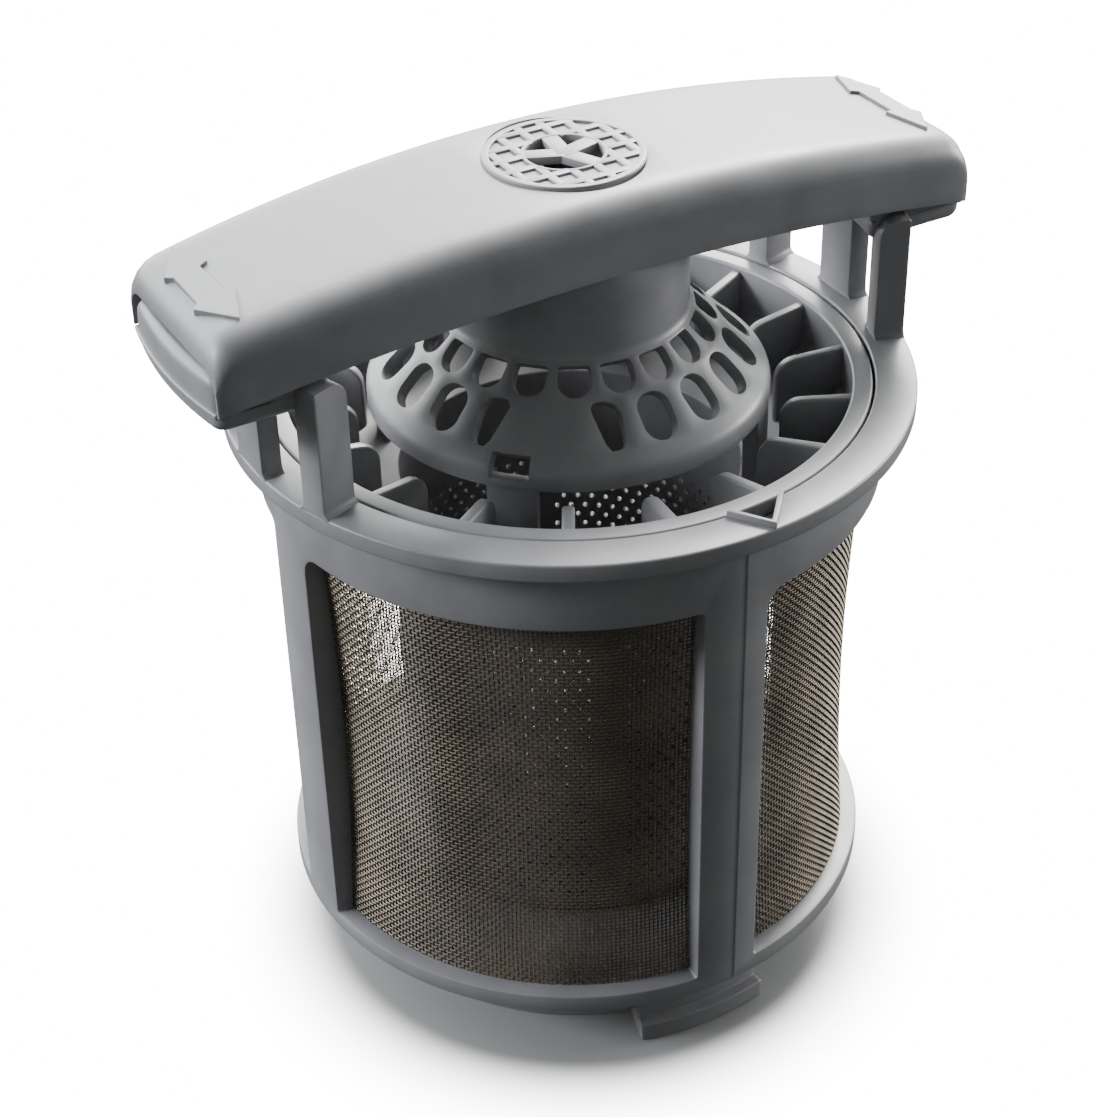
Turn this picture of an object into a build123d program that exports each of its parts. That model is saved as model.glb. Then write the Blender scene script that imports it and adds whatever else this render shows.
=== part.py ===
from build123d import *

import math
import os

# A dishwasher's drain filter: a fine mesh cup that stands in the drain, and a coarse filter
# with a handle that lifts straight up out of it. Sizes are in millimetres. +Z is up, X runs
# along the handle, and the origin is the centre of the surface that the filter stands on.

# Fine filter: the flange that lies on the machine's floor
flange_diameter = 92.0
flange_top = 86.0
rim_height = 2.5
flange_bore_diameter = 81.0
notch_width = 7.0
notch_depth = 4.4
notch_angle = -85.5

# Fine filter: the posts and the end grips on the flange
post_angle = 18.0
post_width = 3.8
post_height = 17.2
post_top_round = 2.5
post_foot_round = 1.0
thin_post_depth = 4.2
thin_post_angles = (-18.0, 162.0)
middle_wall_width = 7.4
middle_wall_thickness = 3.0
grip_reach = 55.1
grip_bulge = 1.7
grip_setback = 0.6
grip_height = 7.4
grip_bottom_round = 2.0
grip_top_round = 1.5
bead_height = 0.8
bead_depth = 0.4
bead_lift = 2.4

# Fine filter: the cup under the flange
cup_diameter = 84.0
cup_wall = 3.2
ring_bottom = 9.0
ring_height = 2.7
ring_width = 6.0
rib_count = 4
rib_width = 9.4
window_turn = -0.35
window_top_drop = 12.5
window_large_round = 3.0
window_small_round = 0.8

# Fine filter: the wire mesh, as a thin wall with a plain grid of openings
mesh_recess = 2.4
mesh_waist = 1.3
mesh_thickness = 0.6
mesh_bar_width = 1.3
mesh_rows = 10
mesh_columns = 10

# Fine filter: the floor and the bayonet lugs under it
floor_thickness = 2.0
collar_diameter = 68.0
collar_wall = 2.0
lug_reach = 6.0
lug_height = 6.0
lug_step = 1.5
lug_arc = 28.0
lug_angle = -93.0
lug_count = 2

# Coarse filter: the bowed cover that is its handle
cover_length = 108.0
cover_end_width = 27.6
cover_crown_rise = 31.0
cover_bow = 5.7
skirt_rise = 21.4
skirt_bow = 5.2
cover_wall = 1.5
cover_top_thickness = 1.8
end_wall_thickness = 2.0
end_opening_rise = 20.9
cover_top_round = 4.0
cover_end_round = 2.6
end_opening_round = 3.0

# Coarse filter: the round grille on the cover
grille_diameter = 21.0
grille_rise = 0.4
grille_hole_diameter = 10.0
spoke_width = 1.6
spoke_angles = (16.0, 82.0, 156.0, 294.0)
pocket_pitch = 3.25
pocket_width = 2.1
pocket_depth = 0.6
pocket_margin = 0.7

# Coarse filter: the neck and the dome with its two rows of holes
neck_diameter = 32.0
neck_wall = 1.8
dome_diameter = 53.6
dome_wall = 1.6
dome_slope = 44.0
dome_top_rise = 10.7
dome_edge_drop = 2.2
dome_foot_round = 1.5
dome_shoulder_round = 3.0
dome_holes = 20
upper_hole_width = 4.3
upper_hole_length = 4.2
upper_hole_start = 1.1
lower_hole_width = 4.7
lower_hole_length = 6.5
lower_hole_start = 5.7
plain_angles = (54.0, 234.0)
plain_slant = 1.8
clip_angles = (44.5, 224.5)
clip_window_arc = 12.0
clip_window_rise = 3.4

# Coarse filter: the ring with its fins, and the funnel
ring_sink = 0.2
ring_lip_height = 2.0
ring_wall = 1.0
ring_wall_depth = 8.0
funnel_depth = 6.5
funnel_wall = 1.4
fin_count = 18
fin_thickness = 1.6
fin_sink = 0.8
fin_length = 9.2
fin_drop = 1.4
fin_round = 3.0
column_arc = 14.0
column_count = 4

# Coarse filter: the perforated tube
tube_diameter = 49.2
tube_wall = 1.4
tube_bottom_thickness = 1.5
tube_holes_around = 12
tube_hole_rows = 8
tube_hole_diameter = 2.6
tube_hole_margin = 5.0

# Running gap between the two filters
clearance = 0.3

# Sizes that follow from the ones above
flange_radius = flange_diameter / 2
bore_radius = flange_bore_diameter / 2
rim_bottom = flange_top - rim_height
cup_radius = cup_diameter / 2
window_top = flange_top - window_top_drop
window_bottom = ring_bottom + ring_height
mesh_radius = cup_radius - mesh_recess
rib_inner_radius = mesh_radius - mesh_waist - mesh_thickness
rib_half_angle = math.degrees(math.asin(rib_width / 2 / cup_radius))
window_arc = 360 / rib_count - 2 * rib_half_angle
floor_radius = cup_radius - ring_width
collar_radius = collar_diameter / 2
collar_bore_radius = collar_radius - collar_wall
lug_radius = collar_radius + lug_reach
post_top = flange_top + post_height
cover_end = cover_length / 2
cover_crown = flange_top + cover_crown_rise
skirt_middle = flange_top + skirt_rise
cover_hollow_end = cover_end - end_wall_thickness
end_opening_top = flange_top + end_opening_rise
end_opening_width = cover_end_width - 2 * cover_wall
grip_top = end_opening_top - clearance
grip_bottom = grip_top - grip_height
grip_width = end_opening_width - 2 * clearance
neck_radius = neck_diameter / 2
dome_radius = dome_diameter / 2
dome_cone_top = flange_top + dome_top_rise
dome_edge = flange_top - dome_edge_drop
slope_cosine = math.cos(math.radians(dome_slope))
slope_sine = math.sin(math.radians(dome_slope))
dome_cone_bottom = dome_cone_top - (dome_radius - neck_radius) * slope_sine / slope_cosine
ring_radius = bore_radius - clearance
ring_top = flange_top - ring_sink
ring_wall_radius = cup_radius - cup_wall - clearance
ring_bore_radius = ring_wall_radius - ring_wall
ring_wall_bottom = flange_top - ring_wall_depth
tube_radius = tube_diameter / 2
tube_bore_radius = tube_radius - tube_wall
funnel_bottom = ring_wall_bottom - funnel_depth
tube_top = funnel_bottom - funnel_wall
tube_bottom = ring_bottom + floor_thickness + clearance


def radial_plane(angle):
    """Upright plane through the main axis: x points outwards at this angle and y points up."""
    turn = math.radians(angle)
    outwards = (math.cos(turn), math.sin(turn), 0)
    return Plane(origin=(0, 0, 0), x_dir=outwards, z_dir=(math.sin(turn), -math.cos(turn), 0))


def facing_plane(angle, radius, height):
    """Plane that faces outwards at this angle, on a circle of this radius at this height."""
    turn = math.radians(angle)
    outwards = (math.cos(turn), math.sin(turn), 0)
    place = (radius * outwards[0], radius * outwards[1], height)
    return Plane(origin=place, x_dir=(-outwards[1], outwards[0], 0), z_dir=outwards)


def dome_plane(angle, slant):
    """Plane on the dome's cone, so far down the slant from its top, with y pointing up it."""
    turn = math.radians(angle)
    radius = neck_radius + slant * slope_cosine
    height = dome_cone_top - slant * slope_sine
    place = (radius * math.cos(turn), radius * math.sin(turn), height)
    normal = (slope_sine * math.cos(turn), slope_sine * math.sin(turn), slope_cosine)
    return Plane(origin=place, x_dir=(-math.sin(turn), math.cos(turn), 0), z_dir=normal)


def ring_sector(inner_radius, outer_radius, middle_angle, arc):
    """A flat sector of a ring."""
    with BuildSketch() as sector:
        with BuildLine():
            outer = CenterArc((0, 0), outer_radius, middle_angle - arc / 2, arc)
            inner = CenterArc((0, 0), inner_radius, middle_angle - arc / 2, arc)
            Line(outer @ 0, inner @ 0)
            Line(outer @ 1, inner @ 1)
        make_face()
    return sector.sketch


def arc_for_width(width, radius):
    """Angle in degrees that a width takes up on a circle of this radius."""
    return math.degrees(width / radius)


# Flange ring: the rim, its index notch, the posts and the end grips
notch_half_arc = math.radians(arc_for_width(notch_width, bore_radius)) / 2
notch_turn = math.radians(notch_angle)


def grip_plan(reach):
    """An end grip's plan: its inner face follows the bore and its outer face bulges."""
    half = grip_width / 2
    inner_radius = bore_radius + grip_setback
    inner_angle = math.degrees(math.asin(half / inner_radius))
    with BuildSketch() as plan:
        with BuildLine():
            inner = CenterArc((0, 0), inner_radius, -inner_angle, 2 * inner_angle)
            outer = ThreePointArc(
                (reach - grip_bulge, -half), (reach, 0), (reach - grip_bulge, half)
            )
            Line(inner @ 0, outer @ 0)
            Line(inner @ 1, outer @ 1)
        make_face()
    return plan.sketch


with BuildPart() as grip:
    with BuildSketch(Plane.XY.offset(grip_bottom)):
        add(grip_plan(grip_reach))
    extrude(amount=grip_top - grip_bottom)
    long_edges = grip.edges().filter_by(Axis.X)
    fillet(long_edges.group_by(Axis.Z)[0], grip_bottom_round)
    long_edges = grip.edges().filter_by(Axis.X)
    fillet(long_edges.group_by(Axis.Z)[-1], end_opening_round - clearance)
    top_edges = grip.faces().sort_by(Axis.Z)[-1].edges()
    fillet(top_edges.sort_by(Axis.X)[-1], grip_top_round)
    with BuildSketch(Plane.XY.offset(grip_bottom + bead_lift)):
        add(grip_plan(grip_reach + bead_depth))
    extrude(amount=bead_height)

# The open spaces between the uprights, each with rounded lower corners
middle_wall_radius = flange_radius - middle_wall_thickness
post_half_arc = arc_for_width(post_width, (bore_radius + flange_radius) / 2) / 2
wall_half_arc = arc_for_width(middle_wall_width, flange_radius) / 2
side_space_start = post_angle + post_half_arc
side_space_arc = 180 - 2 * side_space_start
end_space_start = wall_half_arc
end_space_arc = post_angle - post_half_arc - wall_half_arc
end_space_middle = end_space_start + end_space_arc / 2

with BuildPart() as spaces:
    with BuildSketch(Plane.XY.offset(flange_top)):
        for angle in (90, 270):
            add(ring_sector(bore_radius - 1, flange_radius + 1, angle, side_space_arc))
        for angle in (0, 180):
            for side in (-1, 1):
                middle = angle + side * end_space_middle
                add(ring_sector(bore_radius - 1, flange_radius + 1, middle, end_space_arc))
    extrude(amount=post_height + 1)
    feet = (
        spaces.edges()
        .filter_by(GeomType.LINE)
        .filter_by_position(Axis.Z, flange_top - 0.01, flange_top + 0.01)
    )
    fillet(feet, post_foot_round)
    # Behind the middle walls and the thin posts
    with BuildSketch(Plane.XY.offset(flange_top)):
        for angle in thin_post_angles:
            add(
                ring_sector(
                    bore_radius - 1,
                    flange_radius - thin_post_depth,
                    angle,
                    2 * post_half_arc + 1,
                )
            )
        for angle in (0, 180):
            add(
                ring_sector(
                    bore_radius - 1, middle_wall_radius, angle, 2 * (end_space_middle - 1)
                )
            )
    extrude(amount=post_height + 1)

with BuildPart() as flange_ring:
    with BuildSketch(Plane.XY.offset(rim_bottom)):
        Circle(flange_radius)
        Circle(bore_radius, mode=Mode.SUBTRACT)
    extrude(amount=rim_height + post_height)
    add(spaces.part, mode=Mode.SUBTRACT)
    # The uprights' rounded inner tops
    with BuildSketch(Plane.XZ):
        with Locations((bore_radius + (post_top_round - 1) / 2, post_top - (post_top_round - 1) / 2)):
            Rectangle(post_top_round + 1, post_top_round + 1)
        with Locations((bore_radius + post_top_round, post_top - post_top_round)):
            Circle(post_top_round, mode=Mode.SUBTRACT)
    revolve(axis=Axis.Z, mode=Mode.SUBTRACT)
    # The index notch
    with BuildSketch(Plane.XY.offset(rim_bottom)):
        with BuildLine():
            Polyline(
                [
                    (
                        reach * math.cos(notch_turn + side * notch_half_arc),
                        reach * math.sin(notch_turn + side * notch_half_arc),
                    )
                    for reach, side in (
                        (bore_radius - 1, -1),
                        (bore_radius + notch_depth, 0),
                        (bore_radius - 1, 1),
                    )
                ],
                close=True,
            )
        make_face()
    extrude(amount=rim_height, mode=Mode.SUBTRACT)
    add(grip.part)
    add(grip.part.rotate(Axis.Z, 180))
flange_ring.part.label = "flange_ring"

# Cup frame: the wall band, the ribs and the bottom ring, with a window between each two ribs
rib_angles = [index * 360 / rib_count for index in range(rib_count)]
window_angles = [angle + 180 / rib_count + window_turn for angle in rib_angles]

with BuildPart() as window:
    with BuildSketch(radial_plane(-window_arc / 2)):
        with Locations(((rib_inner_radius + cup_radius) / 2, (window_bottom + window_top) / 2)):
            Rectangle(cup_radius - rib_inner_radius + 4, window_top - window_bottom)
    revolve(axis=Axis.Z, revolution_arc=window_arc)
    corners = window.edges().filter_by(GeomType.LINE).filter_by(
        lambda edge: abs((edge @ 0).Z - (edge @ 1).Z) < 0.01
    )
    top_corners = corners.group_by(Axis.Z)[-1].sort_by(Axis.Y)
    fillet(top_corners[0], window_large_round)
    corners = window.edges().filter_by(GeomType.LINE).filter_by(
        lambda edge: abs((edge @ 0).Z - (edge @ 1).Z) < 0.01
    )
    fillet(corners.group_by(Axis.Z)[-1].sort_by(Axis.Y)[-1], window_small_round)

with BuildPart() as cup_frame:
    with BuildSketch(Plane.XZ):
        with BuildLine():
            Polyline(
                [
                    (cup_radius, ring_bottom),
                    (cup_radius, rim_bottom),
                    (cup_radius - cup_wall, rim_bottom),
                    (cup_radius - cup_wall, window_top),
                    (rib_inner_radius, window_top),
                    (rib_inner_radius, window_bottom),
                    (floor_radius, window_bottom),
                    (floor_radius, ring_bottom),
                ],
                close=True,
            )
        make_face()
    revolve(axis=Axis.Z)
    for angle in window_angles:
        add(window.part.rotate(Axis.Z, angle), mode=Mode.SUBTRACT)
cup_frame.part.label = "cup_frame"

# Mesh panels: a waisted wall with a grid of openings, each inside one straight band of the wall
row_height = (window_top - window_bottom) / mesh_rows
column_arc_step = window_arc / mesh_columns
opening_width = math.radians(column_arc_step) * (mesh_radius - mesh_waist) - mesh_bar_width
opening_height = row_height - mesh_bar_width


def mesh_outside(height):
    """Radius of the mesh's outside at this height, by the parabola of its waist."""
    middle = (window_top + window_bottom) / 2
    share = (height - middle) / (window_top - middle)
    return mesh_radius - mesh_waist * (1 - share**2)


with BuildPart() as mesh_panel:
    with BuildSketch(radial_plane(-window_arc / 2)):
        with BuildLine():
            heights = [window_bottom + row * row_height for row in range(mesh_rows + 1)]
            outside = Polyline([(mesh_outside(height), height) for height in heights])
            inside = Polyline(
                [(mesh_outside(height) - mesh_thickness, height) for height in heights]
            )
            Line(outside @ 0, inside @ 0)
            Line(outside @ 1, inside @ 1)
        make_face()
    revolve(axis=Axis.Z, revolution_arc=window_arc)
    opening_planes = [
        facing_plane(
            -window_arc / 2 + (column + 0.5) * column_arc_step,
            mesh_radius - mesh_waist,
            window_bottom + (row + 0.5) * row_height,
        )
        for row in range(mesh_rows)
        for column in range(mesh_columns)
    ]
    with BuildSketch(*opening_planes):
        Rectangle(opening_width, opening_height)
    extrude(amount=2 * mesh_waist, both=True, mode=Mode.SUBTRACT)
    add(window.part, mode=Mode.INTERSECT)

# Base plate: the floor, the collar under it and the stepped bayonet lugs
with BuildPart() as base_plate:
    with BuildSketch(Plane.XY.offset(ring_bottom)):
        Circle(floor_radius)
    extrude(amount=floor_thickness)
    with BuildSketch(Plane.XY):
        Circle(collar_radius)
        Circle(collar_bore_radius, mode=Mode.SUBTRACT)
    extrude(amount=ring_bottom)
    lug_angles = [lug_angle + index * 360 / lug_count for index in range(lug_count)]
    with BuildSketch(Plane.XY):
        for angle in lug_angles:
            add(ring_sector(collar_bore_radius, lug_radius, angle, lug_arc))
    extrude(amount=lug_height / 2)
    with BuildSketch(Plane.XY.offset(lug_height / 2)):
        for angle in lug_angles:
            add(ring_sector(collar_bore_radius, lug_radius - lug_step, angle, lug_arc))
    extrude(amount=lug_height / 2)
base_plate.part.label = "base_plate"


def is_lowest(edge, block):
    """Whether an edge lies along the block's lower edge at its end."""
    low = block.faces().sort_by(Axis.X)[0].bounding_box().min.Z
    return max((edge @ 0).Z, (edge @ 1).Z) < low + 0.01


def make_bowed_block(
    half_length, middle_half_width, end_half_width, top, bottom, rounding, end_rounding
):
    """A block with a bowed top and bottom and a barrel-shaped plan, rounded along its top.

    top and bottom are each a height at the middle and a drop towards the ends.
    """
    with BuildPart() as block:
        with BuildSketch(Plane.XZ):
            with BuildLine():
                upper = ThreePointArc(
                    (-half_length, top[0] - top[1]), (0, top[0]), (half_length, top[0] - top[1])
                )
                lower = ThreePointArc(
                    (-half_length, bottom[0] - bottom[1]),
                    (0, bottom[0]),
                    (half_length, bottom[0] - bottom[1]),
                )
                Line(upper @ 0, lower @ 0)
                Line(upper @ 1, lower @ 1)
            make_face()
        extrude(amount=middle_half_width + 1, both=True)
        with BuildSketch(Plane.XY.offset(bottom[0] - bottom[1] - 1)):
            with BuildLine():
                near = ThreePointArc(
                    (-half_length, -end_half_width),
                    (0, -middle_half_width),
                    (half_length, -end_half_width),
                )
                far = ThreePointArc(
                    (-half_length, end_half_width),
                    (0, middle_half_width),
                    (half_length, end_half_width),
                )
                Line(near @ 0, far @ 0)
                Line(near @ 1, far @ 1)
            make_face()
        extrude(amount=top[0] - bottom[0] + bottom[1] + 2, mode=Mode.INTERSECT)
        crown = block.faces().sort_by(Axis.Z)[-1]
        long_edges = crown.edges().filter_by(lambda edge: abs(edge.center().X) < half_length / 2)
        fillet(long_edges, rounding)
        for end_face in (block.faces().sort_by(Axis.X)[0], block.faces().sort_by(Axis.X)[-1]):
            end_edges = end_face.edges().filter_by(lambda edge: not is_lowest(edge, block))
            fillet(end_edges, end_rounding)
    return block.part


# Coarse handle: the cover, the neck, the dome and the grille in one moulding
cover_outside = make_bowed_block(
    cover_end,
    neck_radius,
    cover_end_width / 2,
    (cover_crown, cover_bow),
    (skirt_middle, skirt_bow),
    cover_top_round,
    cover_end_round,
)
cover_inside = make_bowed_block(
    cover_hollow_end,
    neck_radius - cover_wall,
    cover_end_width / 2 - cover_wall,
    (cover_crown - cover_top_thickness, cover_bow),
    (skirt_middle - 2, skirt_bow),
    cover_top_round - cover_wall,
    cover_end_round / 2,
)


def end_opening_outline():
    """Outline of the openings in the cover's ends, with rounded upper corners."""
    with BuildSketch() as outline:
        with Locations((0, (grip_bottom + end_opening_top) / 2)):
            Rectangle(end_opening_width, end_opening_top - grip_bottom)
        fillet(outline.vertices().group_by(Axis.Y)[-1], end_opening_round)
    return outline.sketch


with BuildPart() as cover_hollow:
    add(cover_inside)
    with BuildSketch(Plane.YZ.offset(-cover_end - 1)):
        add(end_opening_outline())
    extrude(amount=cover_length + 2)
    with BuildSketch(Plane.XY.offset(flange_top)):
        Circle(neck_radius)
    extrude(amount=cover_crown_rise, mode=Mode.SUBTRACT)

dome_hole_angles = [index * 360 / dome_holes for index in range(dome_holes)]
half_step = 180 / dome_holes
whole_step = 360 / dome_holes
lower_middle = lower_hole_start + lower_hole_length / 2
upper_middle = upper_hole_start + upper_hole_length / 2
beside_plain = {
    side: [(angle + side * whole_step) % 360 for angle in plain_angles] for side in (-1, 1)
}
open_angles = [
    angle
    for angle in dome_hole_angles
    if angle not in plain_angles and angle not in beside_plain[-1] + beside_plain[1]
]

with BuildPart() as coarse_handle:
    add(cover_outside)
    add(cover_hollow.part, mode=Mode.SUBTRACT)
    with BuildSketch(Plane.XZ) as dome_outline:
        with BuildLine() as dome_line:
            Polyline(
                [
                    (0, skirt_middle + 1),
                    (neck_radius, skirt_middle + 1),
                    (neck_radius, dome_cone_top),
                    (dome_radius, dome_cone_bottom),
                    (dome_radius, dome_edge),
                    (0, dome_edge),
                ],
                close=True,
            )
        make_face()
        fillet(
            dome_outline.vertices().filter_by(
                lambda vertex: abs(vertex.X - neck_radius) < 0.01
                and abs(vertex.Y - dome_cone_top) < 0.01
            ),
            dome_foot_round,
        )
        fillet(
            dome_outline.vertices().filter_by(
                lambda vertex: abs(vertex.X - dome_radius) < 0.01
                and abs(vertex.Y - dome_cone_bottom) < 0.01
            ),
            dome_shoulder_round,
        )
    revolve(axis=Axis.Z)
    # The bore inside the neck and the dome
    slant_shift = dome_wall / slope_cosine
    with BuildSketch(Plane.XZ):
        with BuildLine():
            bore_top = cover_crown - cover_top_thickness
            inner_neck = neck_radius - neck_wall
            inner_dome = dome_radius - dome_wall
            inner_cone_drop = slope_sine / slope_cosine
            cone_start = dome_cone_top + (neck_radius - inner_neck) * inner_cone_drop - slant_shift
            cone_finish = cone_start - (inner_dome - inner_neck) * inner_cone_drop
            Polyline(
                [
                    (0, bore_top),
                    (inner_neck, bore_top),
                    (inner_neck, cone_start),
                    (inner_dome, cone_finish),
                    (inner_dome, dome_edge),
                    (0, dome_edge),
                ],
                close=True,
            )
        make_face()
    revolve(axis=Axis.Z, mode=Mode.SUBTRACT)
    # The upper row: holes with a flat top and a round bottom
    with BuildSketch(*[dome_plane(angle + half_step, upper_middle) for angle in dome_hole_angles]):
        round_radius = upper_hole_width / 2
        with Locations((0, (round_radius - upper_hole_length / 2) / 2 + upper_hole_length / 4)):
            Rectangle(upper_hole_width, upper_hole_length - round_radius)
        with Locations((0, round_radius - upper_hole_length / 2)):
            Circle(round_radius)
    extrude(amount=2 * dome_wall, both=True, mode=Mode.SUBTRACT)
    # The lower row: ovals, apart from the plain sectors
    with BuildSketch(*[dome_plane(angle, lower_middle) for angle in open_angles]):
        SlotOverall(lower_hole_length, lower_hole_width, rotation=90)
    extrude(amount=2 * dome_wall, both=True, mode=Mode.SUBTRACT)
    # The ovals that the plain sectors cut off with a slanted edge
    for side, angles in beside_plain.items():
        with BuildSketch(*[dome_plane(angle, lower_middle) for angle in angles]):
            SlotOverall(lower_hole_length, lower_hole_width, rotation=90)
            half_long = lower_hole_length / 2
            with BuildLine():
                Polyline(
                    [
                        (0, -half_long),
                        (-side * plain_slant, half_long),
                        (-side * lower_hole_width, half_long),
                        (-side * lower_hole_width, -half_long),
                    ],
                    close=True,
                )
            make_face(mode=Mode.SUBTRACT)
        extrude(amount=2 * dome_wall, both=True, mode=Mode.SUBTRACT)
    # The windows that the clips reach into
    with BuildSketch(Plane.XY.offset(dome_edge)):
        for angle in clip_angles:
            add(ring_sector(tube_radius - clearance, dome_radius + 1, angle, clip_window_arc))
    extrude(amount=clip_window_rise, mode=Mode.SUBTRACT)
    # The grille: a raised disc with an open middle, spokes and shallow square pockets
    with BuildSketch(Plane.XY.offset(bore_top)):
        Circle(grille_diameter / 2)
    extrude(amount=cover_top_thickness + grille_rise)
    with BuildSketch(Plane.XY.offset(cover_crown + grille_rise)):
        with GridLocations(pocket_pitch, pocket_pitch, 7, 7):
            Rectangle(pocket_width, pocket_width)
        Circle(grille_diameter / 2 - pocket_margin, mode=Mode.INTERSECT)
        Circle(grille_hole_diameter / 2 + pocket_margin, mode=Mode.SUBTRACT)
    extrude(amount=-pocket_depth, mode=Mode.SUBTRACT)
    with BuildSketch(Plane.XY.offset(bore_top)):
        Circle(grille_hole_diameter / 2)
        for angle in spoke_angles:
            with Locations(Location((0, 0), angle)):
                Rectangle(
                    grille_hole_diameter,
                    spoke_width,
                    align=(Align.MIN, Align.CENTER),
                    mode=Mode.SUBTRACT,
                )
    extrude(amount=cover_top_thickness + grille_rise, mode=Mode.SUBTRACT)
coarse_handle.part.label = "coarse_handle"

# Coarse ring: the lip, its wall, the fins, the funnel and the columns that carry the dome
fin_angles = [index * 360 / fin_count for index in range(fin_count)]
funnel_slope = (ring_wall_bottom - funnel_bottom) / (ring_wall_radius - tube_radius)
column_angles = [clip_angles[0] + index * 360 / column_count for index in range(column_count)]


def funnel_middle(radius):
    """Height of the middle of the funnel's wall at this radius."""
    return funnel_bottom + (radius - tube_radius) * funnel_slope + funnel_wall / 2


fin_top = flange_top - fin_sink
fin_end = ring_bore_radius - fin_length



def fin_outline():
    """Outline of a fin: its top falls away from the ring and ends in a round."""
    wall_middle = ring_bore_radius + ring_wall / 2
    with BuildSketch() as outline:
        with BuildLine():
            Polyline(
                [
                    (wall_middle, fin_top),
                    (fin_end, fin_top - fin_drop),
                    (fin_end, funnel_middle(fin_end)),
                    (wall_middle, funnel_middle(wall_middle)),
                ],
                close=True,
            )
        make_face()
        inner_corners = outline.vertices().group_by(Axis.X)[0]
        fillet(inner_corners.sort_by(Axis.Y)[-1], fin_round)
    return outline.sketch


with BuildPart() as coarse_ring:
    with BuildSketch(Plane.XZ):
        with BuildLine():
            Polyline(
                [
                    (ring_radius, ring_top),
                    (ring_radius, ring_top - ring_lip_height),
                    (ring_wall_radius, ring_top - ring_lip_height),
                    (ring_wall_radius, ring_wall_bottom),
                    (tube_radius, funnel_bottom),
                    (tube_radius, tube_top),
                    (tube_bore_radius, tube_top),
                    (tube_bore_radius, funnel_middle(tube_bore_radius) + funnel_wall / 2),
                    (ring_bore_radius, funnel_middle(ring_bore_radius) + funnel_wall / 2),
                    (ring_bore_radius, ring_top),
                ],
                close=True,
            )
        make_face()
    revolve(axis=Axis.Z)
    with BuildSketch(*[radial_plane(angle) for angle in fin_angles]):
        add(fin_outline())
    extrude(amount=fin_thickness / 2, both=True)
    column_foot = (funnel_middle(tube_radius) + funnel_middle(dome_radius)) / 2
    with BuildSketch(Plane.XY.offset(column_foot)):
        for angle in column_angles:
            add(ring_sector(tube_radius, dome_radius, angle, column_arc))
    extrude(amount=dome_edge - column_foot)
    with BuildSketch(Plane.XY.offset(dome_edge)):
        for angle in clip_angles:
            clip_arc = clip_window_arc - 2 * arc_for_width(clearance, tube_radius)
            add(ring_sector(tube_radius, dome_radius - clearance, angle, clip_arc))
    extrude(amount=clip_window_rise - clearance)
coarse_ring.part.label = "coarse_ring"

# Strainer tube: a cup with staggered rows of round holes
hole_step = 360 / tube_holes_around
row_step = (tube_top - tube_bottom - 2 * tube_hole_margin) / (tube_hole_rows - 1)

with BuildPart() as strainer_tube:
    with BuildSketch(Plane.XY.offset(tube_bottom)):
        Circle(tube_radius)
    extrude(amount=tube_top - tube_bottom)
    with BuildSketch(Plane.XY.offset(tube_bottom + tube_bottom_thickness)):
        Circle(tube_bore_radius)
    extrude(amount=tube_top - tube_bottom, mode=Mode.SUBTRACT)
    hole_planes = [
        facing_plane(
            (column + row % 2 / 2) * hole_step,
            tube_radius,
            tube_bottom + tube_hole_margin + row * row_step,
        )
        for row in range(tube_hole_rows)
        for column in range(tube_holes_around)
    ]
    with BuildSketch(*hole_planes):
        Circle(tube_hole_diameter / 2)
    extrude(amount=-2 * tube_wall, mode=Mode.SUBTRACT)
strainer_tube.part.label = "strainer_tube"

os.makedirs("parts", exist_ok=True)
for piece in (flange_ring, cup_frame, base_plate, coarse_handle, coarse_ring, strainer_tube):
    export_step(piece.part, f"parts/{piece.part.label}.step")

# One panel of mesh in each window, named by the side that it is on
panel_names = ("mesh_back", "mesh_left", "mesh_front", "mesh_right")
for name, angle in zip(panel_names, window_angles):
    panel = mesh_panel.part.rotate(Axis.Z, angle)
    panel.label = name
    export_step(panel, f"parts/{name}.step")
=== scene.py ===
"""A dishwasher's drain filter: a fine mesh cup and a coarse filter that lifts out.

Lengths are in millimetres while a piece is being shaped, and become metres when it is
finished. +Z is up, X runs along the handle, and the origin is the middle of the surface
that the filter stands on.
"""

from __future__ import annotations

import logging
import math
from collections.abc import Iterable, Sequence
from dataclasses import dataclass
from enum import Enum

import bmesh
import bpy
from bmesh.types import BMEdge, BMesh, BMVert
from mathutils import Matrix, Vector

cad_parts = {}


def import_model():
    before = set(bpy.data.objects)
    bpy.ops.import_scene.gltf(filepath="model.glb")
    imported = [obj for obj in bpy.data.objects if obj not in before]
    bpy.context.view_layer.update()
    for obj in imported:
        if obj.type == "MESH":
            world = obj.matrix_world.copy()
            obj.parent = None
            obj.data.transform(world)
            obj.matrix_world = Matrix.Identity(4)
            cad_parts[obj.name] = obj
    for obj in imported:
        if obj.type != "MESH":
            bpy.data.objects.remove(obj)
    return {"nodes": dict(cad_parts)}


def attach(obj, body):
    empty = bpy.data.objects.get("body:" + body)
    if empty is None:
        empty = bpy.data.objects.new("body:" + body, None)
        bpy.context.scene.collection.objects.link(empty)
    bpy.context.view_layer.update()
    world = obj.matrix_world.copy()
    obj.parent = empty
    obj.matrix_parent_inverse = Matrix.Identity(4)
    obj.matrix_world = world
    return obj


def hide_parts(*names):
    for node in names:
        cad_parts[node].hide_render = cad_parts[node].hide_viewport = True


LOG = logging.getLogger("drain_filter")
METRES = 0.001
UP = Vector((0, 0, 1))
# A profile that closes on the axis starts this far from it
NEAR_AXIS = 0.01
# Points of a wrapped or joined sheet that are this near are one point
SAME_POINT = 0.01
Outline = Sequence[tuple[float, float]]


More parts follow.
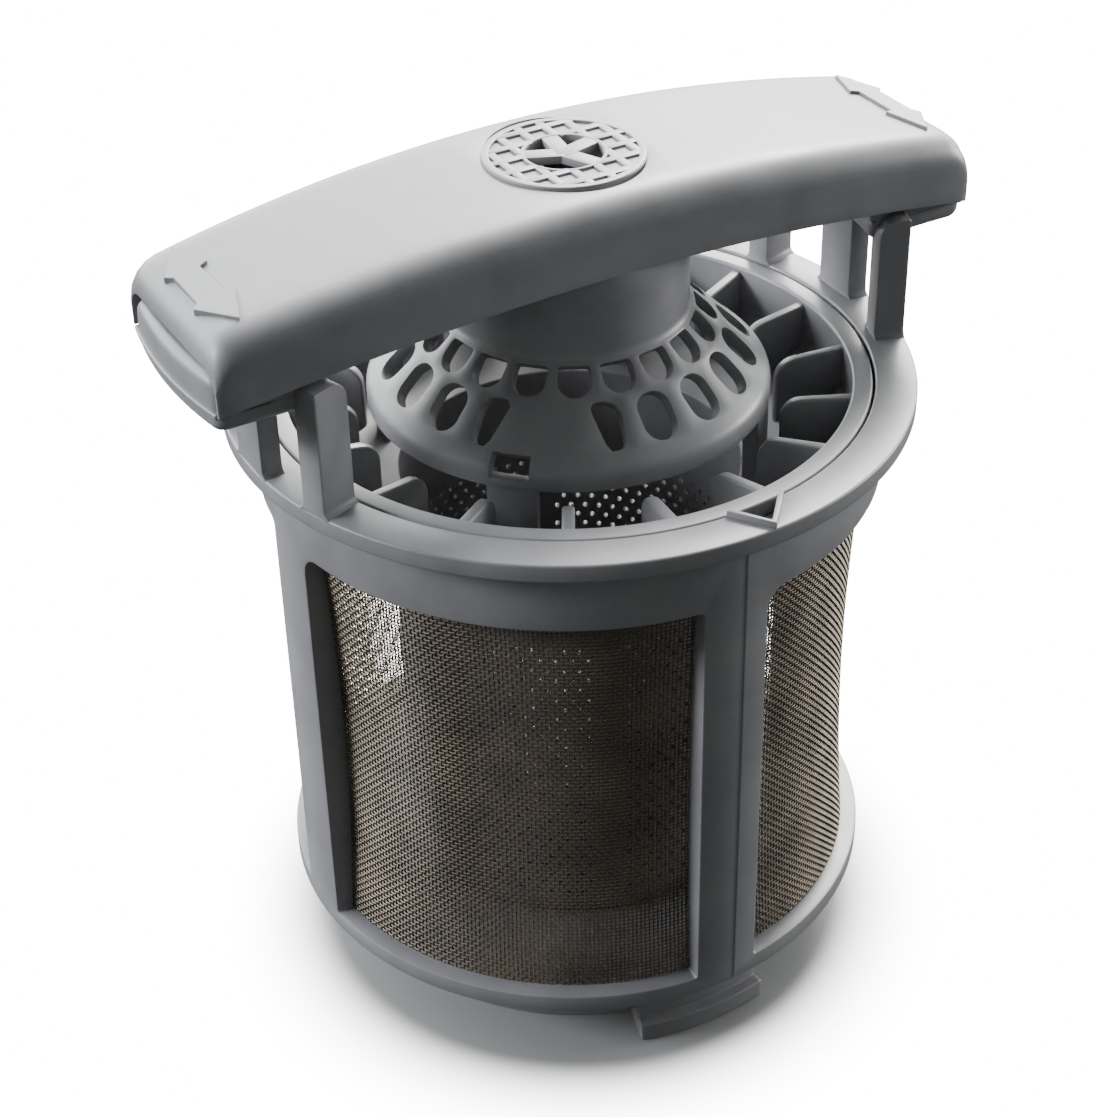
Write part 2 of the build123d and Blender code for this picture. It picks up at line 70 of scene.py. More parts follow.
class Body(Enum):
    """The two things that move against each other."""

    FINE = "fine_filter"
    COARSE = "coarse_filter"


class Slot(Enum):
    """The record's material slots."""

    PLASTIC = "grey_plastic"
    MESH = "wire_mesh"


# Finishes


def linear(hex_colour: str) -> tuple[float, float, float, float]:
    """Turn an sRGB hex colour into linear light.

    Args:
        hex_colour: The colour as six hex digits after a hash sign.

    Returns:
        Red, green, blue and an alpha of one.
    """
    parts = [int(hex_colour[place : place + 2], 16) / 255 for place in (1, 3, 5)]
    red, green, blue = (
        part / 12.92 if part <= 0.04045 else ((part + 0.055) / 1.055) ** 2.4
        for part in parts
    )
    return (red, green, blue, 1.0)


class NodeSheet:
    """A node tree, with one way to add a node with its settings and links."""

    def __init__(self, owner: bpy.types.Material | bpy.types.World) -> None:
        """Start an empty tree.

        Args:
            owner: The material or the world that the tree belongs to.
        """
        owner.use_nodes = True
        self.owner = owner
        self.tree = owner.node_tree
        self.tree.nodes.clear()

    def add(
        self,
        kind: str,
        settings: dict | None = None,
        stops: Sequence[tuple[float, str]] = (),
        **sockets: object,
    ) -> bpy.types.Node:
        """Add a node.

        Args:
            kind: The node's type.
            settings: The node's own properties.
            stops: The place and hex colour of each colour stop, from low to high.
            **sockets: Values or sockets to link, by input name, with _ for a space, or
                by _ and the input's number.

        Returns:
            The new node.
        """
        node = self.tree.nodes.new(kind)
        for key, value in (settings or {}).items():
            setattr(node, key, value)
        while stops and len(node.color_ramp.elements) < len(stops):
            node.color_ramp.elements.new(0.5)
        for index, (place, colour) in enumerate(stops):
            element = node.color_ramp.elements[index]
            element.position, element.color = place, linear(colour)
        for key, value in sockets.items():
            name = key.replace("_", " ")
            socket = node.inputs[int(name[1:]) if name[1:].isdigit() else name]
            if isinstance(value, bpy.types.NodeSocket):
                self.tree.links.new(value, socket)
            else:
                socket.default_value = value
        return node


@dataclass(frozen=True)
class MouldedPolypropylene:
    """Injection-moulded grey polypropylene: satin, a bit waxy, dulled by hot water."""

    name: str = "moulded_polypropylene"
    base: str = "#78787B"
    worn: str = "#808082"
    shaded: str = "#6F6F72"
    stain: str = "#6E5F50"
    stain_size: float = 0.6
    stain_range: tuple[float, float] = (0.62, 0.8)
    stain_strength: float = 0.35
    roughness: float = 0.4
    roughness_spread: tuple[float, float] = (-0.06, 0.08)
    ior: float = 1.49
    mottling_mm: float = 14.0
    grain_mm: float = 0.5
    grain_depth_mm: float = 0.012
    grain_strength: float = 0.35

    def make(self) -> bpy.types.Material:
        """Build the finish.

        Returns:
            The material.
        """
        sheet = NodeSheet(bpy.data.materials.new(self.name))
        place = sheet.add("ShaderNodeTexCoord").outputs["Object"]
        # Cloudy tone, as limescale and heat leave it on plastic that has been used
        clouds = sheet.add(
            "ShaderNodeTexNoise",
            Vector=place,
            Scale=1 / (self.mottling_mm * METRES),
            Detail=4.0,
            Roughness=0.6,
        ).outputs["Fac"]
        tone = sheet.add(
            "ShaderNodeValToRGB",
            stops=[(0.3, self.shaded), (0.5, self.base), (0.72, self.worn)],
            Fac=clouds,
        )
        # A brown tea stain that comes and goes
        marks = sheet.add(
            "ShaderNodeTexNoise",
            Vector=place,
            Scale=1 / (self.mottling_mm * self.stain_size * METRES),
            Detail=6.0,
            Roughness=0.7,
        )
        patch = sheet.add(
            "ShaderNodeMapRange",
            Value=marks.outputs["Fac"],
            From_Min=self.stain_range[0],
            From_Max=self.stain_range[1],
            To_Min=0.0,
            To_Max=self.stain_strength,
        )
        colour = sheet.add(
            "ShaderNodeMix",
            {"data_type": "RGBA"},
            Factor=patch.outputs["Result"],
            _6=tone.outputs["Color"],
            _7=linear(self.stain),
        )
        # The fine grain of the mould, which keeps the satin from looking polished
        grain = sheet.add(
            "ShaderNodeTexNoise",
            Vector=place,
            Scale=1 / (self.grain_mm * METRES),
            Detail=3.0,
        )
        bump = sheet.add(
            "ShaderNodeBump",
            Strength=self.grain_strength,
            Distance=self.grain_depth_mm * METRES,
            Height=grain.outputs["Fac"],
        )
        gloss = sheet.add(
            "ShaderNodeMapRange",
            Value=clouds,
            From_Min=0.3,
            From_Max=0.7,
            To_Min=self.roughness + self.roughness_spread[0],
            To_Max=self.roughness + self.roughness_spread[1],
        )
        surface = sheet.add(
            "ShaderNodeBsdfPrincipled",
            Base_Color=colour.outputs[2],
            Roughness=gloss.outputs["Result"],
            IOR=self.ior,
            Normal=bump.outputs["Normal"],
        )
        sheet.add("ShaderNodeOutputMaterial", Surface=surface.outputs["BSDF"])
        return sheet.owner


@dataclass(frozen=True)
class StainlessWire:
    """Drawn stainless steel wire, woven and dulled: dark and brownish, patchy."""

    name: str = "stainless_wire"
    bright: str = "#6E6354"
    dull: str = "#51493D"
    roughness: float = 0.5
    metal: float = 0.5
    mottling_mm: float = 9.0

    def make(self) -> bpy.types.Material:
        """Build the finish.

        Returns:
            The material.
        """
        sheet = NodeSheet(bpy.data.materials.new(self.name))
        clouds = sheet.add(
            "ShaderNodeTexNoise",
            Vector=sheet.add("ShaderNodeTexCoord").outputs["Object"],
            Scale=1 / (self.mottling_mm * METRES),
            Detail=5.0,
        )
        tone = sheet.add(
            "ShaderNodeValToRGB",
            stops=[(0.35, self.dull), (0.65, self.bright)],
            Fac=clouds.outputs["Fac"],
        )
        surface = sheet.add(
            "ShaderNodeBsdfPrincipled",
            Base_Color=tone.outputs["Color"],
            Roughness=self.roughness,
            Metallic=self.metal,
        )
        sheet.add("ShaderNodeOutputMaterial", Surface=surface.outputs["BSDF"])
        return sheet.owner


@dataclass(frozen=True)
class StudioPaper:
    """Matt mid-grey paper that glows, so that it shows white but for a dark patch.

    The glow fades out between two distances from a point near the filter's middle. So
    the dark patch round the filter's foot is painted shade, with a real shadow on the
    grey paper only where the glow is gone.
    """

    name: str = "studio_paper"
    colour: str = "#8C8C8C"
    roughness: float = 0.9
    glow: float = 16.0
    painted_shade_mm: tuple[float, float] = (37.0, 56.0)
    painted_shade_centre_mm: tuple[float, float, float] = (-2.0, -5.0, 0.0)

    def make(self) -> bpy.types.Material:
        """Build the finish.

        Returns:
            The material.
        """
        sheet = NodeSheet(bpy.data.materials.new(self.name))
        away = sheet.add(
            "ShaderNodeVectorMath",
            {"operation": "DISTANCE"},
            _0=sheet.add("ShaderNodeTexCoord").outputs["Object"],
            _1=tuple(value * METRES for value in self.painted_shade_centre_mm),
        )
        # Painted shade: the paper's glow fades to nothing near the filter's foot, so
        # the floor darkens there as if in shadow
        glow = sheet.add(
            "ShaderNodeMapRange",
            {"interpolation_type": "SMOOTHSTEP"},
            Value=away.outputs["Value"],
            From_Min=self.painted_shade_mm[0] * METRES,
            From_Max=self.painted_shade_mm[1] * METRES,
            To_Min=0.0,
            To_Max=self.glow,
        )
        surface = sheet.add(
            "ShaderNodeBsdfPrincipled",
            Base_Color=linear(self.colour),
            Roughness=self.roughness,
            Emission_Color=(1.0, 1.0, 1.0, 1.0),
            Emission_Strength=glow.outputs["Result"],
        )
        sheet.add("ShaderNodeOutputMaterial", Surface=surface.outputs["BSDF"])
        return sheet.owner


# Shaping


@dataclass(frozen=True)
class Corner:
    """A corner of an outline, with the radius that rounds it."""

    x: float
    y: float
    radius: float = 0.0


def rounded_outline(corners: Sequence[Corner], steps: int = 5) -> Outline:
    """Round the corners of a closed outline.

    Args:
        corners: The corners in order.
        steps: How many steps each arc takes.

    Returns:
        The outline's points.
    """
    points: list[tuple[float, float]] = []
    for index, corner in enumerate(corners):
        here = Vector((corner.x, corner.y))
        if corner.radius <= 0:
            points.append((corner.x, corner.y))
            continue
        before = corners[index - 1]
        after = corners[(index + 1) % len(corners)]
        back = (Vector((before.x, before.y)) - here).normalized()
        on = (Vector((after.x, after.y)) - here).normalized()
        half = math.acos(max(-1.0, min(1.0, back.dot(on)))) / 2
        middle = here + (back + on).normalized() * (corner.radius / math.sin(half))
        start = here + back * (corner.radius / math.tan(half)) - middle
        finish = here + on * (corner.radius / math.tan(half)) - middle
        turn = math.atan2(start.x * finish.y - start.y * finish.x, start.dot(finish))
        for step in range(steps + 1):
            swung = Matrix.Rotation(turn * step / steps, 2) @ start
            points.append((middle.x + swung.x, middle.y + swung.y))
    return points


def add_loop(
    shape: BMesh, points: Iterable[Sequence[float]], closed: bool = True
) -> list[BMEdge]:
    """Add a chain of edges through points.

    Args:
        shape: The mesh to add to.
        points: The places, in order.
        closed: Whether the chain ends where it starts.

    Returns:
        The chain's edges.
    """
    verts = [shape.verts.new(point) for point in points]
    pairs = list(zip(verts, verts[1:]))
    if closed:
        pairs.append((verts[-1], verts[0]))
    return [shape.edges.new(pair) for pair in pairs]


def everything(shape: BMesh) -> list:
    """All the vertices, edges and faces of a mesh."""
    return [*shape.verts, *shape.edges, *shape.faces]


def only(kind: type, items: Iterable) -> list:
    """The items of one kind among what an operator made."""
    return [item for item in items if isinstance(item, kind)]


def edge_verts(edges: Iterable[BMEdge]) -> list[BMVert]:
    """The different vertices of some edges."""
    return list({vert: None for edge in edges for vert in edge.verts})


def vert_edges(verts: Iterable[BMVert]) -> list[BMEdge]:
    """The different edges that meet at some vertices."""
    return list({edge: None for vert in verts for edge in vert.link_edges})


def move(shape: BMesh, x: float = 0.0, y: float = 0.0, z: float = 0.0) -> None:
    """Move a whole mesh."""
    bmesh.ops.translate(shape, verts=shape.verts, vec=(x, y, z))


def turn_level(shape: BMesh, degrees: float) -> None:
    """Turn a whole mesh about the main axis."""
    turned = Matrix.Rotation(math.radians(degrees), 3, "Z")
    bmesh.ops.rotate(shape, verts=shape.verts, matrix=turned)


def fix_normals(shape: BMesh) -> None:
    """Make a mesh's faces point outwards."""
    bmesh.ops.recalc_face_normals(shape, faces=shape.faces)


def merge(shape: BMesh, distance: float = SAME_POINT) -> None:
    """Make one point of those that are nearly in the same place."""
    bmesh.ops.remove_doubles(shape, verts=shape.verts, dist=distance)


def swing(shape: BMesh, geometry: list, arc: float, steps: int, **how: bool) -> None:
    """Spin geometry about the main axis.

    Args:
        shape: The mesh.
        geometry: What is spun.
        arc: The angle of the turn, in degrees.
        steps: How many steps the turn takes.
        **how: The operator's use_merge or use_duplicate.
    """
    turn = math.radians(arc)
    bmesh.ops.spin(
        shape, geom=geometry, cent=(0, 0, 0), axis=UP, angle=turn, steps=steps, **how
    )


def spin_profile(
    shape: BMesh,
    profile: Outline,
    steps: int,
    closed: bool = True,
    start: float = 0.0,
    arc: float = 360.0,
) -> None:
    """Turn a profile about the main axis.

    Args:
        shape: The mesh to add to.
        profile: Radius and height of each point.
        steps: How many steps the turn takes.
        closed: Whether the profile is a closed outline.
        start: The angle that the turn starts at, in degrees.
        arc: The angle of the turn, in degrees.
    """
    turn = math.radians(start)
    along = (math.cos(turn), math.sin(turn))
    points = [(reach * along[0], reach * along[1], height) for reach, height in profile]
    edges = add_loop(shape, points, closed)
    swing(shape, edge_verts(edges) + edges, arc, steps, use_merge=arc == 360.0)


def turned_copies(shape: BMesh, count: int) -> None:
    """Repeat what a mesh holds, so many in all, at even turns about the main axis."""
    arc = 360 * (count - 1) / count
    swing(shape, everything(shape), arc, count - 1, use_duplicate=True)


def moved_copies(
    shape: BMesh, geometry: list, shifts: Iterable[tuple[float, float, float]]
) -> None:
    """Add a copy of some geometry at each of several shifts.

    Args:
        shape: The mesh.
        geometry: What is copied.
        shifts: How far each copy is moved.
    """
    for shift in shifts:
        made = bmesh.ops.duplicate(shape, geom=geometry)["geom"]
        bmesh.ops.translate(shape, verts=only(BMVert, made), vec=shift)


def extrude_faces(shape: BMesh, faces: list) -> list[BMVert]:
    """Extrude faces and keep them, and give the new vertices."""
    made = bmesh.ops.extrude_face_region(shape, geom=faces, use_keep_orig=True)
    return only(BMVert, made["geom"])


def bevel_sharp(
    shape: BMesh, width: float, segments: int = 2, sharper: float = 40.0
) -> None:
    """Round every edge that turns by more than a given angle.

    Args:
        shape: The mesh.
        width: How far the rounding reaches from the edge.
        segments: How many faces it takes.
        sharper: The smallest turn that is rounded, in degrees.
    """
    limit = math.radians(sharper)
    edges = [
        edge
        for edge in shape.edges
        if edge.is_manifold and edge.calc_face_angle(0.0) > limit
    ]
    bmesh.ops.bevel(
        shape,
        geom=edges,
        offset=width,
        offset_type="OFFSET",
        segments=segments,
        profile=0.5,
        affect="EDGES",
        clamp_overlap=True,
        material=-1,
    )


def extrude_flat(
    shape: BMesh, outline: Outline, depth: float, upright: bool = True
) -> None:
    """Make a plate from an outline.

    Args:
        shape: The mesh to add to.
        outline: The outline's points.
        depth: The plate's thickness, centred on the outline's plane.
        upright: Whether the outline lies in the x and z plane, and not in x and y.
    """
    if upright:
        points = [(x, -depth / 2, y) for x, y in outline]
    else:
        points = [(x, y, -depth / 2) for x, y in outline]
    edges = add_loop(shape, points)
    face = bmesh.ops.edgeloop_fill(shape, edges=edges)["faces"]
    step = (0, depth, 0) if upright else (0, 0, depth)
    bmesh.ops.translate(shape, verts=extrude_faces(shape, face), vec=step)
    fix_normals(shape)


def small_bar(
    size: Sequence[float], middle: Sequence[float], rounding: float, segments: int
) -> BMesh:
    """A straight bar with rounded edges.

    Args:
        size: Its size along x, y and z.
        middle: The place of its middle.
        rounding: How far the rounding of its edges reaches.
        segments: How many faces the rounding takes.

    Returns:
        The mesh.
    """
    bar = bmesh.new()
    bmesh.ops.create_cube(bar, size=1.0)
    bmesh.ops.scale(bar, vec=size, verts=bar.verts)
    bevel_sharp(bar, rounding, segments)
    move(bar, *middle)
    return bar


def slice_along(shape: BMesh, axis: Vector, places: Iterable[float]) -> None:
    """Cut a mesh through at places along an axis, so that it can bend there.

    Args:
        shape: The mesh.
        axis: The direction of the axis.
        places: How far along it each cut is.
    """
    for place in places:
        bmesh.ops.bisect_plane(
            shape,
            geom=everything(shape),
            plane_co=axis * place,
            plane_no=axis,
            dist=1e-5,
        )


def wrap_round(
    verts: Iterable[BMVert], radius: float, middle_angle: float = 0.0
) -> None:
    """Wrap a flat sheet round the main axis.

    The sheet's x runs round the circle, its y points inwards and its z is up.

    Args:
        verts: The sheet's vertices.
        radius: The radius that y of nought comes to.
        middle_angle: The angle that x of nought comes to, in degrees.
    """
    for vert in verts:
        angle = math.radians(middle_angle) + vert.co.x / radius
        reach = radius - vert.co.y
        vert.co = Vector((reach * math.cos(angle), reach * math.sin(angle), vert.co.z))


def give_wall(shape: BMesh, thickness: float) -> None:
    """Turn a sheet into a wall."""
    fix_normals(shape)
    bmesh.ops.solidify(shape, geom=list(shape.faces), thickness=thickness)


def join(shape: BMesh, other: BMesh) -> None:
    """Add a copy of another mesh to this one, and free the other.

    Args:
        shape: The mesh to add to.
        other: The mesh that is added.
    """
    carrier = bpy.data.meshes.new("carrier")
    other.to_mesh(carrier)
    shape.from_mesh(carrier)
    bpy.data.meshes.remove(carrier)
    other.free()


@dataclass
class Finisher:
    """Turns a shaped mesh into a finished piece on its body."""

    materials: dict[Slot, bpy.types.Material]

    def finish(
        self,
        shape: BMesh,
        name: str,
        body: Body,
        slot: Slot = Slot.PLASTIC,
        stands_for: Sequence[str] = (),
        sharp: float = 35.0,
    ) -> None:
        """Give a mesh its size in metres, its finish, its body and its place.

        Args:
            shape: The mesh in millimetres, which is freed.
            name: The piece's name.
            body: The body that it moves with.
            slot: The material slot that it belongs to.
            stands_for: The CAD nodes that it is shown in place of.
            sharp: The turn above which an edge stays crisp, in degrees.
        """
        merge(shape, 1e-4)
        fix_normals(shape)
        bmesh.ops.scale(shape, vec=(METRES,) * 3, verts=shape.verts)
        mesh = bpy.data.meshes.new(name)
        shape.to_mesh(mesh)
        shape.free()
        mesh.polygons.foreach_set("use_smooth", [True] * len(mesh.polygons))
        mesh.set_sharp_from_angle(angle=math.radians(sharp))
        mesh.materials.append(self.materials[slot])
        piece = bpy.data.objects.new(name, mesh)
        bpy.context.scene.collection.objects.link(piece)
        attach(piece, body.value)
        if stands_for:
            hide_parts(*stands_for)
        LOG.info("%s has %d faces", name, len(mesh.polygons))


# Sheets with holes


@dataclass(frozen=True)
class Cell:
    """One field of a sheet, x by z about its middle, with a round-cornered hole in it.

    The outer edge has evenly spaced points, so that neighbouring cells join up.
    """

    width: float
    height: float
    along: int = 8
    up: int = 8

    def plain(self, shape: BMesh) -> list[BMVert]:
        """Add the cell without a hole.

        Args:
            shape: The mesh to add to.

        Returns:
            The cell's vertices.
        """
        made = bmesh.ops.create_grid(
            shape, x_segments=self.along, y_segments=self.up, size=0.5
        )["verts"]
        for vert in made:
            vert.co = Vector((vert.co.x * self.width, 0, vert.co.y * self.height))
        return made

    def frame_edges(self, shape: BMesh) -> list[BMEdge]:
        """Add the cell's outer edge, evenly divided.

        Args:
            shape: The mesh to add to.

        Returns:
            The edges.
        """
        made = self.plain(shape)
        faces = list({face: None for vert in made for face in vert.link_faces})
        inner = [vert for vert in made if len(vert.link_faces) == 4]
        bmesh.ops.delete(shape, geom=faces, context="FACES_ONLY")
        bmesh.ops.delete(shape, geom=inner, context="VERTS")
        return vert_edges(vert for vert in made if vert.is_valid)

    def holed(
        self, shape: BMesh, outline: Outline, hub: float | None = None
    ) -> list[BMVert]:
        """Add the cell with a hole cast from its middle onto an outline.

        Args:
            shape: The mesh to add to.
            outline: The hole's outline about the cell's middle.
            hub: For a cell that is bent later, the radius of a small circle that the
                hole's points are kept on, with their real distance as y.

        Returns:
            The vertices of the cell's outer edge.
        """
        outer = self.frame_edges(shape)
        count = 2 * (self.along + self.up)
        points = []
        for step in range(count):
            angle = 2 * math.pi * (step + 0.5) / count
            reach = cast(outline, angle)
            shown, kept = (reach, 0) if hub is None else (hub, reach)
            points.append((shown * math.cos(angle), kept, shown * math.sin(angle)))
        bmesh.ops.bridge_loops(shape, edges=outer + add_loop(shape, points))
        return edge_verts(outer)


def cast(outline: Outline, angle: float) -> float:
    """How far an outline is from the middle in one direction.

    Args:
        outline: The closed outline's points.
        angle: The direction in radians.

    Returns:
        The distance.
    """
    along = Vector((math.cos(angle), math.sin(angle)))
    best = 0.0
    for start, finish in zip(outline, (*outline[1:], outline[0])):
        first, side = Vector(start), Vector(finish) - Vector(start)
        cross = along.x * side.y - along.y * side.x
        if abs(cross) < 1e-9:
            continue
        reach = (first.x * side.y - first.y * side.x) / cross
        share = (first.x * along.y - first.y * along.x) / cross
        if -1e-6 <= share <= 1 + 1e-6:
            best = max(best, reach)
    return best


# The fine filter


@dataclass
class FlangeRing:
    """The rim, its uprights and its two end grips."""

    finisher: Finisher
    radius: float = 46.0
    bore_radius: float = 40.5
    top: float = 86.0
    height: float = 2.5
    rim_round: float = 0.4
    post_angle: float = 18.0
    post_width: float = 3.8
    post_top: float = 103.2
    post_round: float = 2.5
    thin_post_depth: float = 4.2
    upright_sink: float = 0.6
    upright_round: float = 0.3
    upright_edge: float = 0.35
    foot_round: float = 1.0
    foot_slices: tuple[float, ...] = (0.1, 0.3, 0.6, 1.0)
    wall_width: float = 7.4
    wall_thickness: float = 3.0
    wall_overlap: float = 1.0
    grip_top: float = 106.7
    grip_bottom: float = 99.2
    grip_half_width: float = 12.8
    grip_reach: float = 55.1
    grip_inset: float = 0.6
    grip_bulge: float = 1.3
    grip_rounds: tuple[float, float] = (2.0, 2.7)
    grip_end_round: float = 1.4
    grip_slices: int = 7
    grip_slice: float = 1.5
    bead_depth: float = 0.38
    bead_lift: float = 2.4
    bead_height: float = 0.8
    bead_round: float = 0.3
    notch_angle: float = -87.3
    notch_steps: tuple[int, int] = (3, 5)
    notch_depth: float = 4.5
    notch_wall_width: float = 0.95
    notch_wall_height: float = 0.9
    notch_wall_ends: tuple[float, float] = (1.3, 1.22)
    notch_wall_gap: float = 0.1
    notch_wall_sink: float = 0.5
    notch_wall_round: float = 0.15
    steps: int = 288

    def rim(self) -> BMesh:
        """The flat ring, its index notch cut out as a V that points outwards.

        Returns:
            The mesh.
        """
        shape = bmesh.new()
        bore, edge = [], []
        before, after = self.notch_steps
        for step in range(self.steps):
            turn = math.radians(self.notch_angle + 360 * step / self.steps)
            x, y = math.cos(turn), math.sin(turn)
            off = min(step / after, (self.steps - step) / before)
            reach = self.bore_radius + self.notch_depth * max(0.0, 1 - off)
            bore.append((reach * x, reach * y, self.top))
            edge.append((self.radius * x, self.radius * y, self.top))
        loops = add_loop(shape, edge) + add_loop(shape, bore)
        bmesh.ops.bridge_loops(shape, edges=loops)
        lower = extrude_faces(shape, list(shape.faces))
        bmesh.ops.translate(shape, verts=lower, vec=(0, 0, -self.height))
        fix_normals(shape)
        bevel_sharp(shape, self.rim_round, 3)
        return shape

    def notch_wall(self) -> BMesh:
        """The low raised wall round the notch.

        Returns:
            The mesh.
        """
        shape = bmesh.new()
        before, after = (360 * count / self.steps for count in self.notch_steps)
        foot = self.bore_radius + self.notch_wall_gap
        tip = self.bore_radius + self.notch_depth
        points = []
        for off, reach in (
            (-1.0, foot),
            (0.0, tip),
            (1.0, foot),
            (self.notch_wall_ends[1], foot),
            (0.0, tip + self.notch_wall_width),
            (-self.notch_wall_ends[0], foot),
        ):
            turn = math.radians(self.notch_angle + off * (after if off > 0 else before))
            points.append((reach * math.cos(turn), reach * math.sin(turn)))
        depth = self.notch_wall_height + self.notch_wall_sink
        extrude_flat(shape, points, depth, upright=False)
        rise = (self.notch_wall_height - self.notch_wall_sink) / 2
        move(shape, z=self.top + rise)
        bevel_sharp(shape, self.notch_wall_round, 2)
        return shape

    def upright(
        self, width: float, depth: float, height: float, top_round: float
    ) -> BMesh:
        """An upright, flat on the rim's outside, with a flared foot.

        Args:
            width: Its width round the rim.
            depth: Its thickness inwards.
            height: Its height above the rim.
            top_round: The radius of its inner top edge.

        Returns:
            The mesh, not yet wrapped.
        """
        shape = bmesh.new()
        profile = [
            Corner(0, -self.upright_sink),
            Corner(depth, -self.upright_sink),
            Corner(depth, height, top_round),
            Corner(0, height, self.upright_round),
        ]
        extrude_flat(shape, rounded_outline(profile), width)
        turn_level(shape, 90)
        slice_along(shape, UP, [part * self.foot_round for part in self.foot_slices])
        bevel_sharp(shape, self.upright_edge)
        for vert in shape.verts:
            vert.co.y = abs(vert.co.y)
            lift = max(0.0, 1 - max(0.0, vert.co.z) / self.foot_round)
            flare = self.foot_round * (1 - math.sqrt(max(0.0, 1 - lift * lift)))
            vert.co.x += math.copysign(flare, vert.co.x)
            vert.co.z += self.top
        return shape

    def grip(
        self,
        reach: float,
        low: float,
        high: float,
        rounds: tuple[float, float],
        soft: float,
    ) -> BMesh:
        """An end grip or its bead, at the X axis.

        Args:
            reach: How far out its middle comes.
            low: The height of its underside.
            high: The height of its top.
            rounds: The radii of its lower and its upper long edges.
            soft: The rounding of its ends.

        Returns:
            The mesh.
        """
        shape = bmesh.new()
        inner = self.bore_radius + self.grip_inset
        half = self.grip_half_width
        corners = [
            Corner(-half, low, rounds[0]),
            Corner(half, low, rounds[0]),
            Corner(half, high, rounds[1]),
            Corner(-half, high, rounds[1]),
        ]
        extrude_flat(shape, rounded_outline(corners), reach - inner)
        turn_level(shape, -90)
        move(shape, x=(inner + reach) / 2)
        bevel_sharp(shape, soft, 4)
        cuts = range(-self.grip_slices, self.grip_slices + 1)
        slice_along(shape, Vector((0, 1, 0)), [cut * self.grip_slice for cut in cuts])
        for vert in shape.verts:
            outwards = (vert.co.x - inner) / (reach - inner)
            curve_in = inner - math.sqrt(inner**2 - vert.co.y**2)
            bulge = self.grip_bulge * (vert.co.y / half) ** 2
            vert.co.x -= (1 - outwards) * curve_in + outwards * bulge
        return shape

    def build(self) -> None:
        """Make the rim, the uprights and the grips."""
        rim = self.rim()
        join(rim, self.notch_wall())
        self.finisher.finish(rim, "flange_rim", Body.FINE, stands_for=["flange_ring"])
        uprights = bmesh.new()
        post_height = self.post_top - self.top
        thick, thin = (
            (self.post_width, depth, post_height, self.post_round)
            for depth in (self.radius - self.bore_radius, self.thin_post_depth)
        )
        wall_height = self.grip_bottom + self.wall_overlap - self.top
        wall = (self.wall_width, self.wall_thickness, wall_height, 0)
        for angle, sizes in (
            (self.post_angle, thick),
            (180 - self.post_angle, thin),
            (180 + self.post_angle, thick),
            (-self.post_angle, thin),
            (0, wall),
            (180, wall),
        ):
            upright = self.upright(*sizes)
            wrap_round(upright.verts, self.radius, angle)
            join(uprights, upright)
        self.finisher.finish(uprights, "grip_posts", Body.FINE)
        grips = self.grip(
            self.grip_reach,
            self.grip_bottom,
            self.grip_top,
            self.grip_rounds,
            self.grip_end_round,
        )
        bead_low = self.grip_bottom + self.bead_lift
        bead = self.grip(
            self.grip_reach + self.bead_depth,
            bead_low,
            bead_low + self.bead_height,
            (self.bead_round, self.bead_round),
            self.bead_round,
        )
        join(grips, bead)
        turned_copies(grips, 2)
        self.finisher.finish(grips, "end_grips", Body.FINE)


